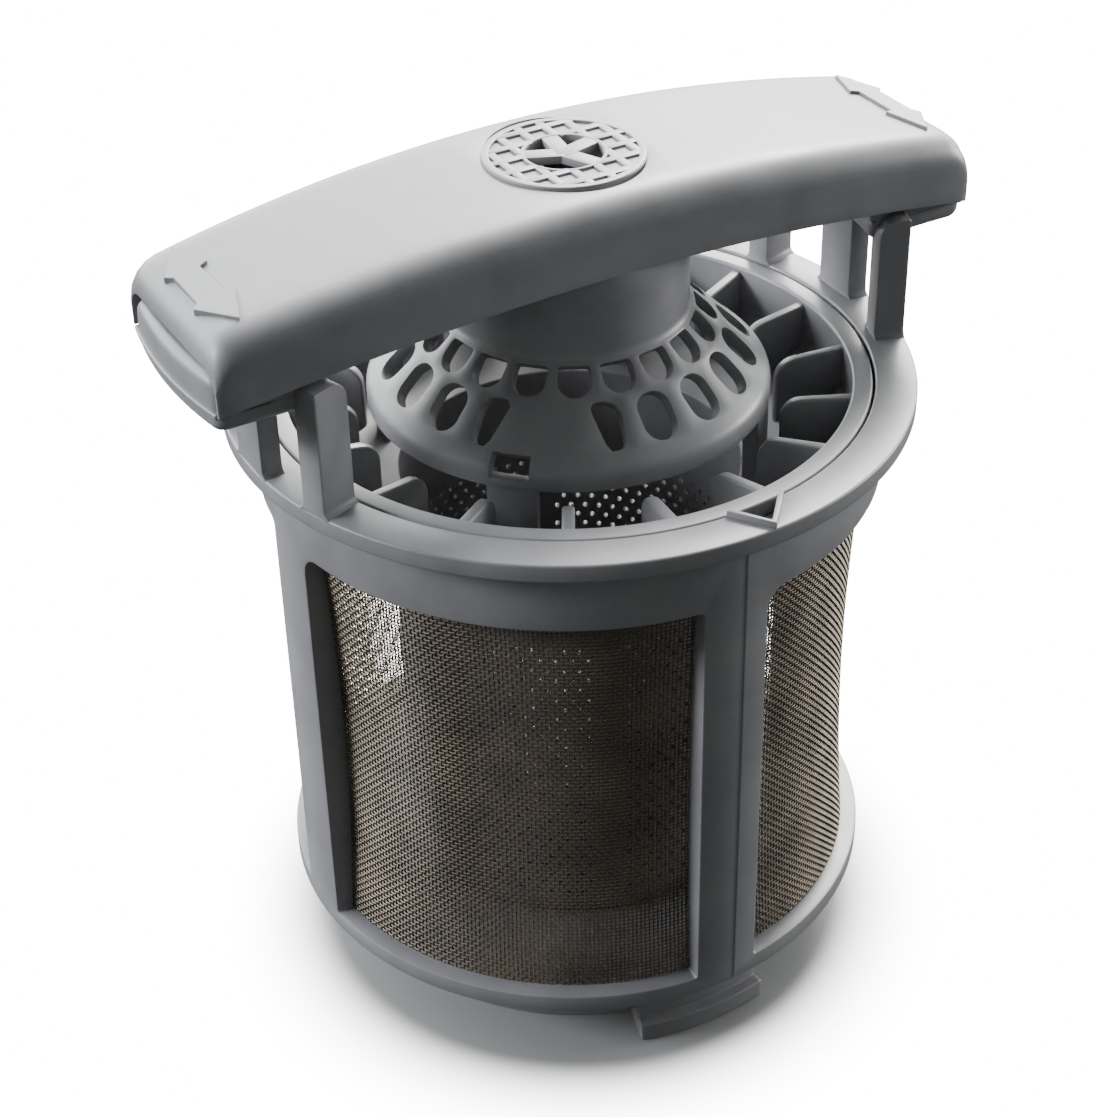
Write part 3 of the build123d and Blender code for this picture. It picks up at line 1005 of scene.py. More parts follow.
@dataclass
class CupFrame:
    """The cup's wall band, its ribs and its bottom ring, with four windows."""

    finisher: Finisher
    radius: float = 42.0
    top: float = 83.5
    bottom: float = 9.0
    window_top: float = 73.5
    window_bottom: float = 11.7
    window_count: int = 4
    window_rounds: tuple[float, ...] = (0.5, 0.8, 3.0, 0.5)
    rib_width: float = 9.4
    turn: float = -0.35
    wall: float = 3.2
    rib_depth: float = 4.2
    rib_overlap: float = 0.5
    edge_round: float = 0.35
    corner_reach: float = 3.0
    line_width: float = 0.35
    line_rise: float = 0.12
    line_round: float = 0.05
    line_angle: float = -88.6
    seam: float = 1e-3
    arc_steps: int = 6
    along: int = 26
    up: int = 28

    def corner_run(
        self, index: int, half: Vector, middle: Vector, radius: float
    ) -> list[Vector]:
        """The points round one corner of a rectangle.

        Args:
            index: Which corner, from the lower right and then the upper right on.
            half: Half the rectangle's size.
            middle: Its middle.
            radius: The corner's radius. For none, its points lie along both sides.

        Returns:
            The points.
        """
        right, upper = ((1, -1), (1, 1), (-1, 1), (-1, -1))[index]
        tip = Vector((middle.x + right * half.x, middle.y + upper * half.y))
        shares = [step / self.arc_steps for step in range(self.arc_steps + 1)]
        if radius:
            centre = tip - Vector((right * radius, upper * radius))
            angles = [math.radians(90 * (index - 1) + 90 * share) for share in shares]
            ways = [Vector((math.cos(angle), math.sin(angle))) for angle in angles]
            return [centre + radius * way for way in ways]
        level = Vector((-right * self.corner_reach, 0))
        upright = Vector((0, -upper * self.corner_reach))
        first, last = (level, upright) if index % 2 == 0 else (upright, level)
        ends = [2 * share - 1 for share in shares]
        return [tip + (first * -end if end < 0 else last * end) for end in ends]

    def loop_points(
        self, half: Vector, middle: Vector, radii: Sequence[float]
    ) -> list[tuple[float, float, float]]:
        """A rectangle's points, with evenly divided sides between its corners.

        Args:
            half: Half the rectangle's size.
            middle: Its middle.
            radii: The radius of each corner.

        Returns:
            The points, upright in the plane of the flat frame.
        """
        runs = [
            self.corner_run(index, half, middle, radius)
            for index, radius in enumerate(radii)
        ]
        points = []
        for index, run in enumerate(runs):
            points.extend(run)
            following = runs[(index + 1) % 4][0]
            steps = self.up if index % 2 == 0 else self.along
            shares = [step / steps for step in range(1, steps)]
            points += [run[-1].lerp(following, share) for share in shares]
        return [(point.x, 0, point.y) for point in points]

    def parting_line(self) -> BMesh:
        """The fine line down the front rib, where the mould's halves met.

        Returns:
            The mesh.
        """
        size = (self.line_width, self.line_rise * 2, self.top - self.bottom - 1)
        middle = (0, 0, (self.top + self.bottom) / 2)
        line = small_bar(size, middle, self.line_round, 1)
        wrap_round(line.verts, self.radius - self.line_rise / 2, self.line_angle)
        return line

    def build(self) -> None:
        """Make the frame flat, one cell for each window, then wrap it round."""
        shape = bmesh.new()
        around = 2 * math.pi * self.radius
        cell_width = around / self.window_count
        edges: list[BMEdge] = []
        for width, low, high, radii in (
            (cell_width, self.bottom, self.top, (0, 0, 0, 0)),
            (
                cell_width - self.rib_width,
                self.window_bottom,
                self.window_top,
                self.window_rounds,
            ),
        ):
            half = Vector((width / 2, (high - low) / 2))
            middle = Vector((0, (high + low) / 2))
            edges += add_loop(shape, self.loop_points(half, middle, radii))
        bmesh.ops.bridge_loops(shape, edges=edges)
        shifts = [(cell_width * index, 0, 0) for index in range(1, self.window_count)]
        moved_copies(shape, everything(shape), shifts)
        merge(shape, self.seam)
        for vert in extrude_faces(shape, list(shape.faces)):
            low = vert.co.z < self.window_top + self.rib_overlap
            vert.co.y = self.rib_depth if low else self.wall
        # The faces at the two ends meet once the frame is round, so they go
        left = -cell_width / 2 + self.seam
        right = around - cell_width / 2 - self.seam
        at_seam = [
            face
            for face in shape.faces
            if not left < face.calc_center_median().x < right
        ]
        bmesh.ops.delete(shape, geom=at_seam, context="FACES")
        fix_normals(shape)
        bevel_sharp(shape, self.edge_round, 2)
        wrap_round(shape.verts, self.radius, 180 / self.window_count + self.turn)
        merge(shape, self.seam)
        join(shape, self.parting_line())
        self.finisher.finish(shape, "cup_cage", Body.FINE, stands_for=["cup_frame"])


@dataclass
class WovenPanels:
    """Plain-woven wire cloth, one waisted panel in each window.

    The pitch and the wire are coarser than the real cloth's, so that the weave shows
    and a panel keeps within its number of triangles.
    """

    finisher: Finisher
    radius: float = 39.6
    waist: float = 1.3
    bottom: float = 11.5
    top: float = 73.7
    arc: float = 78.0
    turn: float = -0.35
    pitch: float = 0.6
    wire: float = 0.235
    sides: int = 4

    def waisted(self, height: float) -> float:
        """How far the cloth is drawn in at a height."""
        middle = (self.top + self.bottom) / 2
        return self.waist * (1 - ((height - middle) / (self.top - middle)) ** 2)

    def first_ring(
        self, shape: BMesh, lying: Matrix
    ) -> tuple[list[BMVert], list[BMEdge]]:
        """The first ring of a wire, at the panel's lower right corner.

        Args:
            shape: The mesh to add to.
            lying: How the ring is turned from level.

        Returns:
            Its vertices and its edges.
        """
        ring = bmesh.ops.create_circle(
            shape, segments=self.sides, radius=self.wire / 2, matrix=lying
        )["verts"]
        start = Matrix.Rotation(-math.radians(self.arc) / 2, 3, "Z")
        bmesh.ops.translate(shape, verts=ring, vec=(self.radius, 0, self.bottom))
        bmesh.ops.rotate(shape, verts=ring, matrix=start)
        return ring, vert_edges(ring)

    def cloth(self) -> BMesh:
        """Weave one panel about the X axis.

        Returns:
            The panel's mesh.
        """
        arc = math.radians(self.arc)
        rows = round((self.top - self.bottom) / self.pitch)
        columns = round(arc * self.radius / self.pitch)
        rise = (self.top - self.bottom) / rows
        shape = bmesh.new()
        # One upright wire, then its copies round the arc
        edges = self.first_ring(shape, Matrix.Identity(4))[1]
        for _ in range(rows):
            made = bmesh.ops.extrude_edge_only(shape, edges=edges)["geom"]
            edges = only(BMEdge, made)
            bmesh.ops.translate(shape, verts=edge_verts(edges), vec=(0, 0, rise))
        swing(shape, everything(shape), self.arc, columns, use_duplicate=True)
        uprights = set(shape.verts)
        # One level wire round the arc, then its copies up the panel
        ring, edges = self.first_ring(shape, Matrix.Rotation(math.pi / 2, 4, "X"))
        swing(shape, ring + edges, self.arc, columns)
        level = [vert for vert in shape.verts if vert not in uprights]
        level_edges = [edge for edge in shape.edges if edge.verts[0] not in uprights]
        level_faces = [face for face in shape.faces if face.verts[0] not in uprights]
        shifts = [(0, 0, rise * row) for row in range(1, rows + 1)]
        moved_copies(shape, level + level_edges + level_faces, shifts)
        # Each wire passes over and under those that it crosses
        lift = self.wire / 2
        for vert in shape.verts:
            angle = math.atan2(vert.co.y, vert.co.x)
            column = round((angle + arc / 2) / (arc / columns))
            row = round((vert.co.z - self.bottom) / rise)
            over = 1 if (row + column) % 2 else -1
            side = over if vert in uprights else -over
            inwards = self.waisted(vert.co.z) + lift
            reach = math.hypot(vert.co.x, vert.co.y) + side * lift - inwards
            vert.co.x = reach * math.cos(angle)
            vert.co.y = reach * math.sin(angle)
        bmesh.ops.holes_fill(shape, edges=shape.edges)
        return shape

    def build(self) -> None:
        """Weave one panel and set a copy of it in each window."""
        cloth = self.cloth()
        sides = (("front", 225), ("right", -45), ("back", 45), ("left", 135))
        for name, angle in sides:
            panel = cloth.copy()
            turn_level(panel, angle + self.turn)
            self.finisher.finish(
                panel,
                f"wire_cloth_{name}",
                Body.FINE,
                Slot.MESH,
                [f"mesh_{name}"],
                sharp=80.0,
            )
        cloth.free()


@dataclass
class BasePlate:
    """The closed floor, the collar and the stepped bayonet lugs."""

    finisher: Finisher
    floor_radius: float = 38.0
    floor_low: float = 9.0
    floor_high: float = 11.0
    collar_radius: float = 34.0
    collar_wall: float = 2.0
    lug_radius: float = 40.0
    lug_step: float = 1.5
    lug_slope: float = 0.2
    lug_height: float = 6.0
    lug_clearance: float = 0.02
    lug_overlap: float = 0.5
    lug_arc: float = 28.0
    lug_angle: float = -93.0
    lug_round: float = 0.25

    def build(self) -> None:
        """Make the floor with its collar, then the lugs."""
        shape = bmesh.new()
        inner = self.collar_radius - self.collar_wall
        profile = [
            Corner(NEAR_AXIS, self.floor_low),
            Corner(inner, self.floor_low, 0.5),
            Corner(inner, 0, 0.4),
            Corner(self.collar_radius, 0, 0.4),
            Corner(self.collar_radius, self.floor_low, 0.3),
            Corner(self.floor_radius, self.floor_low),
            Corner(self.floor_radius, self.floor_high),
            Corner(NEAR_AXIS, self.floor_high),
        ]
        spin_profile(shape, rounded_outline(profile), 160)
        lug = bmesh.new()
        root = inner + self.lug_overlap
        outer, upper = self.lug_radius, self.lug_radius - self.lug_step
        half = self.lug_height / 2
        lug_profile = [
            Corner(root, self.lug_clearance),
            Corner(outer, self.lug_clearance, 0.4),
            Corner(outer, half, 0.3),
            Corner(upper, half + self.lug_slope, 0.2),
            Corner(upper, self.lug_height, 0.4),
            Corner(root, self.lug_height),
        ]
        start = self.lug_angle - self.lug_arc / 2
        outline = rounded_outline(lug_profile)
        spin_profile(lug, outline, 24, start=start, arc=self.lug_arc)
        bmesh.ops.holes_fill(lug, edges=lug.edges)
        fix_normals(lug)
        bevel_sharp(lug, self.lug_round, 2, 60.0)
        turned_copies(lug, 2)
        join(shape, lug)
        self.finisher.finish(
            shape, "floor_and_lugs", Body.FINE, stands_for=["base_plate"]
        )


# The coarse filter


@dataclass
class CoarseRing:
    """The inner ring, its eighteen fins, the funnel and the columns under the dome."""

    finisher: Finisher
    lip_radius: float = 40.2
    lip_top: float = 85.8
    lip_height: float = 2.0
    wall_radius: float = 38.5
    bore_radius: float = 37.5
    wall_bottom: float = 78.0
    funnel_bottom: float = 71.5
    tube_radius: float = 24.6
    tube_bore: float = 23.2
    funnel_wall: float = 1.4
    overlap: float = 0.5
    fin_count: int = 18
    fin_thickness: float = 1.6
    fin_top: float = 85.2
    fin_end: float = 28.3
    fin_drop: float = 1.4
    fin_round: float = 3.0
    fin_edge: float = 0.4
    fin_overlap: float = 0.4
    column_count: int = 4
    column_start: float = 37.5
    column_arc: float = 14.0
    column_inset: float = 0.1
    dome_edge: float = 83.8
    dome_radius: float = 26.8
    steps: int = 216

    def funnel_top(self, radius: float) -> float:
        """Height of the funnel's upper face at a radius."""
        rise, run = self.wall_bottom - self.funnel_bottom, radius - self.tube_radius
        slope = rise / (self.wall_radius - self.tube_radius)
        return self.funnel_bottom + run * slope + self.funnel_wall

    def build(self) -> None:
        """Make the ring with its funnel, then the fins and the columns."""
        shape = bmesh.new()
        lip_low = self.lip_top - self.lip_height
        funnel_low = self.funnel_bottom - self.funnel_wall
        profile = [
            Corner(self.lip_radius, self.lip_top, 0.35),
            Corner(self.lip_radius, lip_low),
            Corner(self.wall_radius, lip_low),
            Corner(self.wall_radius, self.wall_bottom, 0.8),
            Corner(self.tube_radius, self.funnel_bottom),
            Corner(self.tube_radius, funnel_low),
            Corner(self.tube_bore, funnel_low),
            Corner(self.tube_bore, self.funnel_top(self.tube_bore), 0.4),
            Corner(self.bore_radius, self.funnel_top(self.bore_radius), 1.5),
            Corner(self.bore_radius, self.lip_top, 0.45),
        ]
        spin_profile(shape, rounded_outline(profile), self.steps)
        fin = bmesh.new()
        inside = self.bore_radius + self.fin_overlap
        fin_profile = [
            Corner(inside, self.fin_top),
            Corner(self.fin_end, self.fin_top - self.fin_drop, self.fin_round),
            Corner(self.fin_end, self.funnel_top(self.fin_end) - self.overlap),
            Corner(inside, self.funnel_top(inside) - self.overlap),
        ]
        extrude_flat(fin, rounded_outline(fin_profile, 6), self.fin_thickness)
        bevel_sharp(fin, self.fin_edge, 3, 60.0)
        turned_copies(fin, self.fin_count)
        join(shape, fin)
        column = bmesh.new()
        outer = self.dome_radius - self.column_inset
        column_outline = [
            (self.tube_radius, self.funnel_top(self.tube_radius) - self.overlap),
            (outer, self.funnel_top(self.dome_radius) - self.overlap),
            (outer, self.dome_edge),
            (self.tube_radius, self.dome_edge),
        ]
        spin_profile(
            column, column_outline, 6, start=self.column_start, arc=self.column_arc
        )
        bmesh.ops.holes_fill(column, edges=column.edges)
        turned_copies(column, self.column_count)
        join(shape, column)
        self.finisher.finish(
            shape, "finned_ring", Body.COARSE, stands_for=["coarse_ring"], sharp=30.0
        )


@dataclass
class StrainerTube:
    """The perforated tube with its closed bottom."""

    finisher: Finisher
    radius: float = 24.6
    wall: float = 1.4
    top: float = 70.1
    bottom: float = 11.3
    bottom_edge: float = 0.4
    holes_around: int = 70
    rows: int = 27
    hole_radius: float = 0.45
    hole_points: int = 24
    margin: float = 3.0
    collar: float = 12.0
    plain_columns: int = 2
    band_angle: float = -112.0

    def build(self) -> None:
        """Make the rows of holes as one flat sheet, wrap it round and close it."""
        shape = bmesh.new()
        around = 2 * math.pi * self.radius
        pitch = around / self.holes_around
        rise = (self.top - self.bottom - self.margin - self.collar) / self.rows
        cell = Cell(pitch, rise, 2, 2)
        angles = [
            math.radians(step * (360 // self.hole_points))
            for step in range(self.hole_points)
        ]
        circle = [
            (self.hole_radius * math.cos(angle), self.hole_radius * math.sin(angle))
            for angle in angles
        ]
        # Half a row, then the whole row, then every other row moved by half a hole
        for column in range(self.holes_around // 2):
            part = bmesh.new()
            if column < self.plain_columns:
                cell.plain(part)
            else:
                cell.holed(part, circle)
            move(part, x=pitch * column)
            join(shape, part)
        move(shape, z=self.bottom + self.margin + rise / 2)
        moved_copies(shape, everything(shape), [(around / 2, 0, 0)])
        shifts = [
            (index % 2 * pitch / 2, 0, rise * index) for index in range(1, self.rows)
        ]
        moved_copies(shape, everything(shape), shifts)
        wrap_round(shape.verts, self.radius, self.band_angle)
        merge(shape)
        below = [
            (self.radius, self.bottom + self.margin),
            (self.radius, self.bottom + self.bottom_edge),
            (self.radius - self.bottom_edge, self.bottom),
            (NEAR_AXIS, self.bottom),
        ]
        above = [(self.radius, self.top - self.collar), (self.radius, self.top)]
        start = self.band_angle + 180 / self.holes_around
        for profile in (below, above):
            spin_profile(
                shape, profile, 2 * self.holes_around, closed=False, start=start
            )
        merge(shape)
        give_wall(shape, self.wall)
        self.finisher.finish(
            shape,
            "perforated_tube",
            Body.COARSE,
            stands_for=["strainer_tube"],
            sharp=50.0,
        )


@dataclass
class Dome:
    """The neck and the dome under the handle, with its two rows of holes."""

    finisher: Finisher
    neck_radius: float = 16.0
    neck_top: float = 108.4
    neck_round: float = 1.6
    radius: float = 26.8
    edge: float = 83.8
    edge_round: float = 0.22
    cone_top: float = 96.7
    slope: float = 44.0
    shoulder_round: float = 2.2
    wall: float = 1.6
    holes: int = 20
    along: int = 8
    up: int = 6
    hub: float = 0.1
    upper_start: float = 0.7
    split: float = 5.5
    lower_end: float = 12.7
    clip_low: float = 85.0
    clip_angles: tuple[float, float] = (-141.0, -131.0)
    plain_cells: tuple[int, ...] = (3, 13)
    d_hole: tuple[Corner, ...] = (
        Corner(-2.15, 2.1, 0.5),
        Corner(-2.15, -2.1, 2.0),
        Corner(2.15, -2.1, 2.0),
        Corner(2.15, 2.1, 0.5),
    )
    oval: tuple[Corner, ...] = (
        Corner(-2.35, 3.25, 2.2),
        Corner(-2.35, -3.25, 2.2),
        Corner(2.35, -3.25, 2.2),
        Corner(2.35, 3.25, 2.2),
    )
    cut_oval: tuple[Corner, ...] = (
        Corner(-2.35, 3.25, 2.2),
        Corner(-2.35, -3.25, 1.1),
        Corner(0.0, -3.25, 0.5),
        Corner(1.8, 3.25, 0.9),
    )

    def cone_point(self, slant: float) -> tuple[float, float]:
        """Radius and height so far down the cone."""
        angle = math.radians(self.slope)
        x, z = slant * math.cos(angle), slant * math.sin(angle)
        return self.neck_radius + x, self.cone_top - z

    def open_clips(self, shape: BMesh) -> None:
        """Open the two square windows that the ring's clips snap into.

        Args:
            shape: The dome's sheet.
        """
        doomed = []
        first, last = self.clip_angles
        for face in shape.faces:
            middle = face.calc_center_median()
            turn = math.degrees(math.atan2(middle.y, middle.x))
            inside = any(first < turn - side < last for side in (0, 180))
            beyond = middle.xy.length > self.cone_point(self.lower_end)[0]
            if inside and beyond and middle.z > self.clip_low:
                doomed.append(face)
        bmesh.ops.delete(shape, geom=doomed, context="FACES")

    def row(
        self, low: float, high: float, offset: float, outlines: Sequence[Outline | None]
    ) -> BMesh:
        """One row of cells on the cone.

        Args:
            low: The slant at the row's lower edge.
            high: The slant at its upper edge.
            offset: The angle of the row's first cell, in degrees.
            outlines: The hole's outline in each cell, or None where the cell is plain.

        Returns:
            The row, on the cone.
        """
        shape = bmesh.new()
        middle = (low + high) / 2
        pitch = 360 / self.holes
        cell = Cell(1.0, low - high, self.along, self.up)
        for index, outline in enumerate(outlines):
            part = bmesh.new()
            if outline is None:
                edge = set(cell.plain(part))
            else:
                edge = set(cell.holed(part, outline, self.hub))
            for vert in part.verts:
                if vert in edge:
                    radius, height = self.cone_point(middle - vert.co.z)
                    turn = math.radians(vert.co.x * pitch)
                else:
                    way = Vector((vert.co.x, vert.co.z)).normalized() * vert.co.y
                    radius, height = self.cone_point(middle - way.y)
                    turn = way.x / radius
                turn += math.radians(offset + index * pitch)
                x, y = radius * math.cos(turn), radius * math.sin(turn)
                vert.co = Vector((x, y, height))
            join(shape, part)
        return shape

    def build(self) -> None:
        """Make the dome as one sheet from neck to edge, then give it its wall."""
        shape = bmesh.new()
        upper = [rounded_outline(self.d_hole)] * self.holes
        lower: list[Outline | None] = [rounded_outline(self.oval, 8)] * self.holes
        right_cut = rounded_outline(self.cut_oval, 8)
        left_cut = [(-x, y) for x, y in reversed(right_cut)]
        for plain in self.plain_cells:
            lower[plain - 1 : plain + 2] = [right_cut, None, left_cut]
        join(shape, self.row(self.split, self.upper_start, 180 / self.holes, upper))
        join(shape, self.row(self.lower_end, self.split, 0.0, lower))
        across = self.radius - self.neck_radius
        slant_end = across / math.cos(math.radians(self.slope))
        above = [
            Corner(*self.cone_point(self.upper_start)),
            Corner(self.neck_radius, self.cone_top, self.neck_round),
            Corner(self.neck_radius, self.neck_top),
        ]
        shoulder = [
            Corner(*self.cone_point(self.lower_end)),
            Corner(*self.cone_point(slant_end), self.shoulder_round),
            Corner(self.radius, self.clip_low),
            Corner(self.radius, self.edge),
        ]
        for profile in (rounded_outline(above), rounded_outline(shoulder, 6)):
            spin_profile(shape, profile, self.holes * self.along, closed=False)
        self.open_clips(shape)
        merge(shape)
        give_wall(shape, self.wall)
        fix_normals(shape)
        bevel_sharp(shape, self.edge_round, 2, 55.0)
        self.finisher.finish(shape, "dome_and_neck", Body.COARSE, sharp=40.0)


@dataclass
class HandleCover:
    """The bowed cover, hollow below and open at its ends, with grille and arrows."""

    finisher: Finisher
    half_length: float = 54.0
    end_half_width: float = 13.8
    middle_half_width: float = 16.0
    crown: float = 117.0
    bow: float = 5.7
    skirt: float = 107.4
    skirt_bow: float = 5.2
    top_round: float = 4.0
    end_round: float = 3.5
    end_side_round: float = 0.35
    end_steps: int = 4
    opening_round: float = 3.0
    wall: float = 1.5
    edge_round: float = 0.4
    opening_top: float = 107.8
    opening_half_width: float = 13.1
    hole_radius: float = 9.9
    hole_margin: float = 1.0
    grille_radius: float = 10.5
    grille_hole: float = 5.0
    grille_rise: float = 0.3
    grille_drop: float = 0.9
    grille_lip: float = 1.0
    grille_hub: float = 0.5
    grille_steps: int = 96
    pocket_pitch: float = 3.25
    pocket_width: float = 2.1
    pocket_depth: float = 0.35
    bars_each_side: int = 3
    bar_overlap: float = 0.2
    bar_reach: float = 0.5
    bar_round: float = 0.12
    # Bars that cross have tops a little apart, so that no two faces share a plane
    bar_sinks: tuple[float, float] = (0.02, 0.035)
    spoke_sinks: tuple[float, float] = (0.05, 0.015)
    spoke_width: float = 2.3
    spoke_start: float = -0.6
    spoke_reach: float = 0.3
    spoke_angles: tuple[float, ...] = (16.0, 82.0, 156.0, 294.0)
    arrow_place: float = 49.8
    arrow_shaft: float = 1.7
    arrow_neck: float = -3.6
    arrow_head: tuple[tuple[float, float], ...] = (
        (-2.9, -4.0),
        (-0.8, -10.4),
        (2.6, -4.6),
    )
    arrow_rise: float = 0.45
    arrow_round: float = 0.08
    slices: int = 36
    side_steps: int = 4
    top_steps: int = 10

    @property
    def height(self) -> float:
        """The height of the cover's side, before it bows."""
        return self.crown - self.skirt

    def half_width(self, x: float) -> float:
        """Half the cover's width at a place along it."""
        taper = self.middle_half_width - self.end_half_width
        return self.middle_half_width - taper * (x / self.half_length) ** 2

    def surface_height(self, x: float) -> float:
        """Height of the cover's top at a place along it."""
        return self.crown - self.bow * (x / self.half_length) ** 2

    def arch(self, half: float, high: float, radius: float) -> Outline:
        """An outline from one lower edge over the top to the other.

        Args:
            half: Half its width.
            high: Its height.
            radius: The radius of its upper corners.

        Returns:
            The y and z of each point.
        """
        corners = [Corner(-half, 0), Corner(-half, high, radius), Corner(0, high)]
        arc = rounded_outline(corners, 8)[1:-1]
        side = range(self.side_steps)
        left = [(-half, arc[0][1] * step / self.side_steps) for step in side] + arc
        inner = -arc[-1][0]
        across = [
            (inner * (2 * step / self.top_steps - 1), high)
            for step in range(1, self.top_steps)
        ]
        return left + across + [(-y, z) for y, z in reversed(left)]

    def rings(self) -> list[tuple[float, Outline]]:
        """The place and outline of each ring of the straight shell, end to end.

        Returns:
            The rings in order.
        """
        ends = []
        for step in range(self.end_steps, 0, -1):
            turn = math.radians(90 * step / self.end_steps)
            away = 1 - math.cos(turn)
            outline = self.arch(
                self.end_half_width - self.end_side_round * away,
                self.height - self.end_round * away,
                self.top_round - self.end_round * away / 5,
            )
            place = self.half_length - self.end_round * (1 - math.sin(turn))
            ends.append((place, outline))
        straight = self.half_length - self.end_round
        full = self.arch(self.end_half_width, self.height, self.top_round)
        low = self.opening_top + self.skirt_bow - self.skirt
        opening = self.arch(self.opening_half_width, low, self.opening_round)
        places = [2 * step / self.slices - 1 for step in range(self.slices + 1)]
        return [
            (-self.half_length, opening),
            *((-x, outline) for x, outline in ends),
            *((straight * place, full) for place in places),
            *reversed(ends),
            (self.half_length, opening),
        ]

    def shell(self) -> BMesh:
        """The cover as one sheet, drawn out along X, bowed and then given its wall.

        Returns:
            The mesh.
        """
        shape = bmesh.new()
        edges: list[BMEdge] = []
        for x, outline in self.rings():
            if edges:
                made = bmesh.ops.extrude_edge_only(shape, edges=edges)["geom"]
                edges, chain = only(BMEdge, made), only(BMVert, made)
                for vert, (y, z) in zip(chain, outline):
                    vert.co = Vector((x, y, z))
            else:
                points = [(x, y, z) for y, z in outline]
                edges = add_loop(shape, points, closed=False)
        self.cut_hole(shape)
        for vert in shape.verts:
            x, lift = vert.co.x, vert.co.z / self.height
            vert.co.y *= self.half_width(x) / self.end_half_width
            bow = self.skirt_bow * (1 - lift) + self.bow * lift
            vert.co.z += self.skirt - bow * (x / self.half_length) ** 2
        give_wall(shape, self.wall)
        fix_normals(shape)
        bevel_sharp(shape, self.edge_round, 3, 50.0)
        return shape

    def cut_hole(self, shape: BMesh) -> None:
        """Open the top where the grille sits.

        Args:
            shape: The straight block's sheet.
        """
        reach = self.hole_radius + self.hole_margin
        doomed = []
        for face in shape.faces:
            x, y, z = face.calc_center_median()
            if z > self.height - 0.1 and abs(x) < reach and abs(y) < reach:
                doomed.append(face)
        around = {edge: None for face in doomed for edge in face.edges}
        edge_loop = [
            edge
            for edge in around
            if sum(face in doomed for face in edge.link_faces) == 1
        ]
        bmesh.ops.delete(shape, geom=doomed, context="FACES")
        circle = bmesh.ops.create_circle(
            shape, segments=2 * len(edge_loop), radius=self.hole_radius
        )["verts"]
        bmesh.ops.translate(shape, verts=circle, vec=(0, 0, self.height))
        bmesh.ops.bridge_loops(shape, edges=edge_loop + vert_edges(circle))

    def grille(self) -> BMesh:
        """The round grille: a plate with shallow pockets, and spokes over its hole.

        Returns:
            The mesh.
        """
        shape = bmesh.new()
        top = self.crown + self.grille_rise
        floor = top - self.pocket_depth
        low = self.crown - self.grille_drop
        outer, inner = self.grille_radius, self.grille_hole
        lip, hub = outer - self.grille_lip, inner + self.grille_hub
        plate = [
            Corner(inner, low),
            Corner(outer, low),
            Corner(outer, top, 0.25),
            Corner(lip, top, 0.1),
            Corner(lip, floor),
            Corner(hub, floor),
            Corner(hub, top, 0.1),
            Corner(inner, top, 0.2),
        ]
        spin_profile(shape, rounded_outline(plate, 3), self.grille_steps)
        bar = self.pocket_pitch - self.pocket_width
        spoke_end = inner + self.spoke_reach
        for turn, sink in zip((0, 90), self.bar_sinks):
            heights = (floor - self.bar_overlap, top - sink)
            for index in range(-self.bars_each_side, self.bars_each_side):
                off = (index + 0.5) * self.pocket_pitch
                far = math.sqrt((outer - self.bar_reach) ** 2 - off**2)
                near = math.sqrt(max(0.0, spoke_end**2 - off**2))
                spans = ((near, far), (-far, -near)) if near else ((-far, far),)
                for span in spans:
                    self.add_bar(shape, span, off, bar, heights, turn)
        span = (self.spoke_start, spoke_end)
        for index, angle in enumerate(self.spoke_angles):
            sink = self.spoke_sinks[0] + self.spoke_sinks[1] * index
            self.add_bar(shape, span, 0, self.spoke_width, (low, top - sink), angle)
        return shape

    def add_bar(
        self,
        shape: BMesh,
        span: tuple[float, float],
        offset: float,
        width: float,
        heights: tuple[float, float],
        turn: float,
    ) -> None:
        """Add a straight bar with rounded edges to the grille.

        Args:
            shape: The mesh to add to.
            span: Where the bar starts and ends along its line.
            offset: How far its line is from the middle.
            width: Its width.
            heights: The heights of its underside and its top.
            turn: The direction of its line, in degrees.
        """
        size = (span[1] - span[0], width, heights[1] - heights[0])
        middle = (sum(span) / 2, offset, sum(heights) / 2)
        bar = small_bar(size, middle, self.bar_round, 2)
        turn_level(bar, turn)
        join(shape, bar)

    def arrow(self) -> BMesh:
        """The raised double arrow that shows how the filter turns, on the right end.

        Returns:
            The mesh.
        """
        shaft, neck = self.arrow_shaft, self.arrow_neck
        half = [(-shaft, 0.0), (-shaft, neck), *self.arrow_head, (shaft, neck)]
        points = half + [(x, -y) for x, y in reversed(half[1:])]
        shape = bmesh.new()
        outline = [(self.arrow_place + x, y) for x, y in points]
        extrude_flat(shape, outline, 2 * self.arrow_rise, upright=False)
        bevel_sharp(shape, self.arrow_round, 1)
        for vert in shape.verts:
            vert.co.z += self.surface_height(vert.co.x)
        big = [face for face in shape.faces if len(face.verts) > 4]
        bmesh.ops.triangulate(shape, faces=big)
        return shape

    def build(self) -> None:
        """Make the shell with an arrow on each end, then the grille."""
        cover = self.shell()
        arrows = self.arrow()
        turned_copies(arrows, 2)
        join(cover, arrows)
        self.finisher.finish(
            cover, "handle_cover", Body.COARSE, stands_for=["coarse_handle"]
        )
        self.finisher.finish(self.grille(), "top_grille", Body.COARSE)


# The studio


@dataclass(frozen=True)
class Lamp:
    """A big soft lamp, far away: its bearing, height and spread are in degrees."""

    name: str
    turn: float
    lift: float
    spread: float
    strength: float
    colour: str


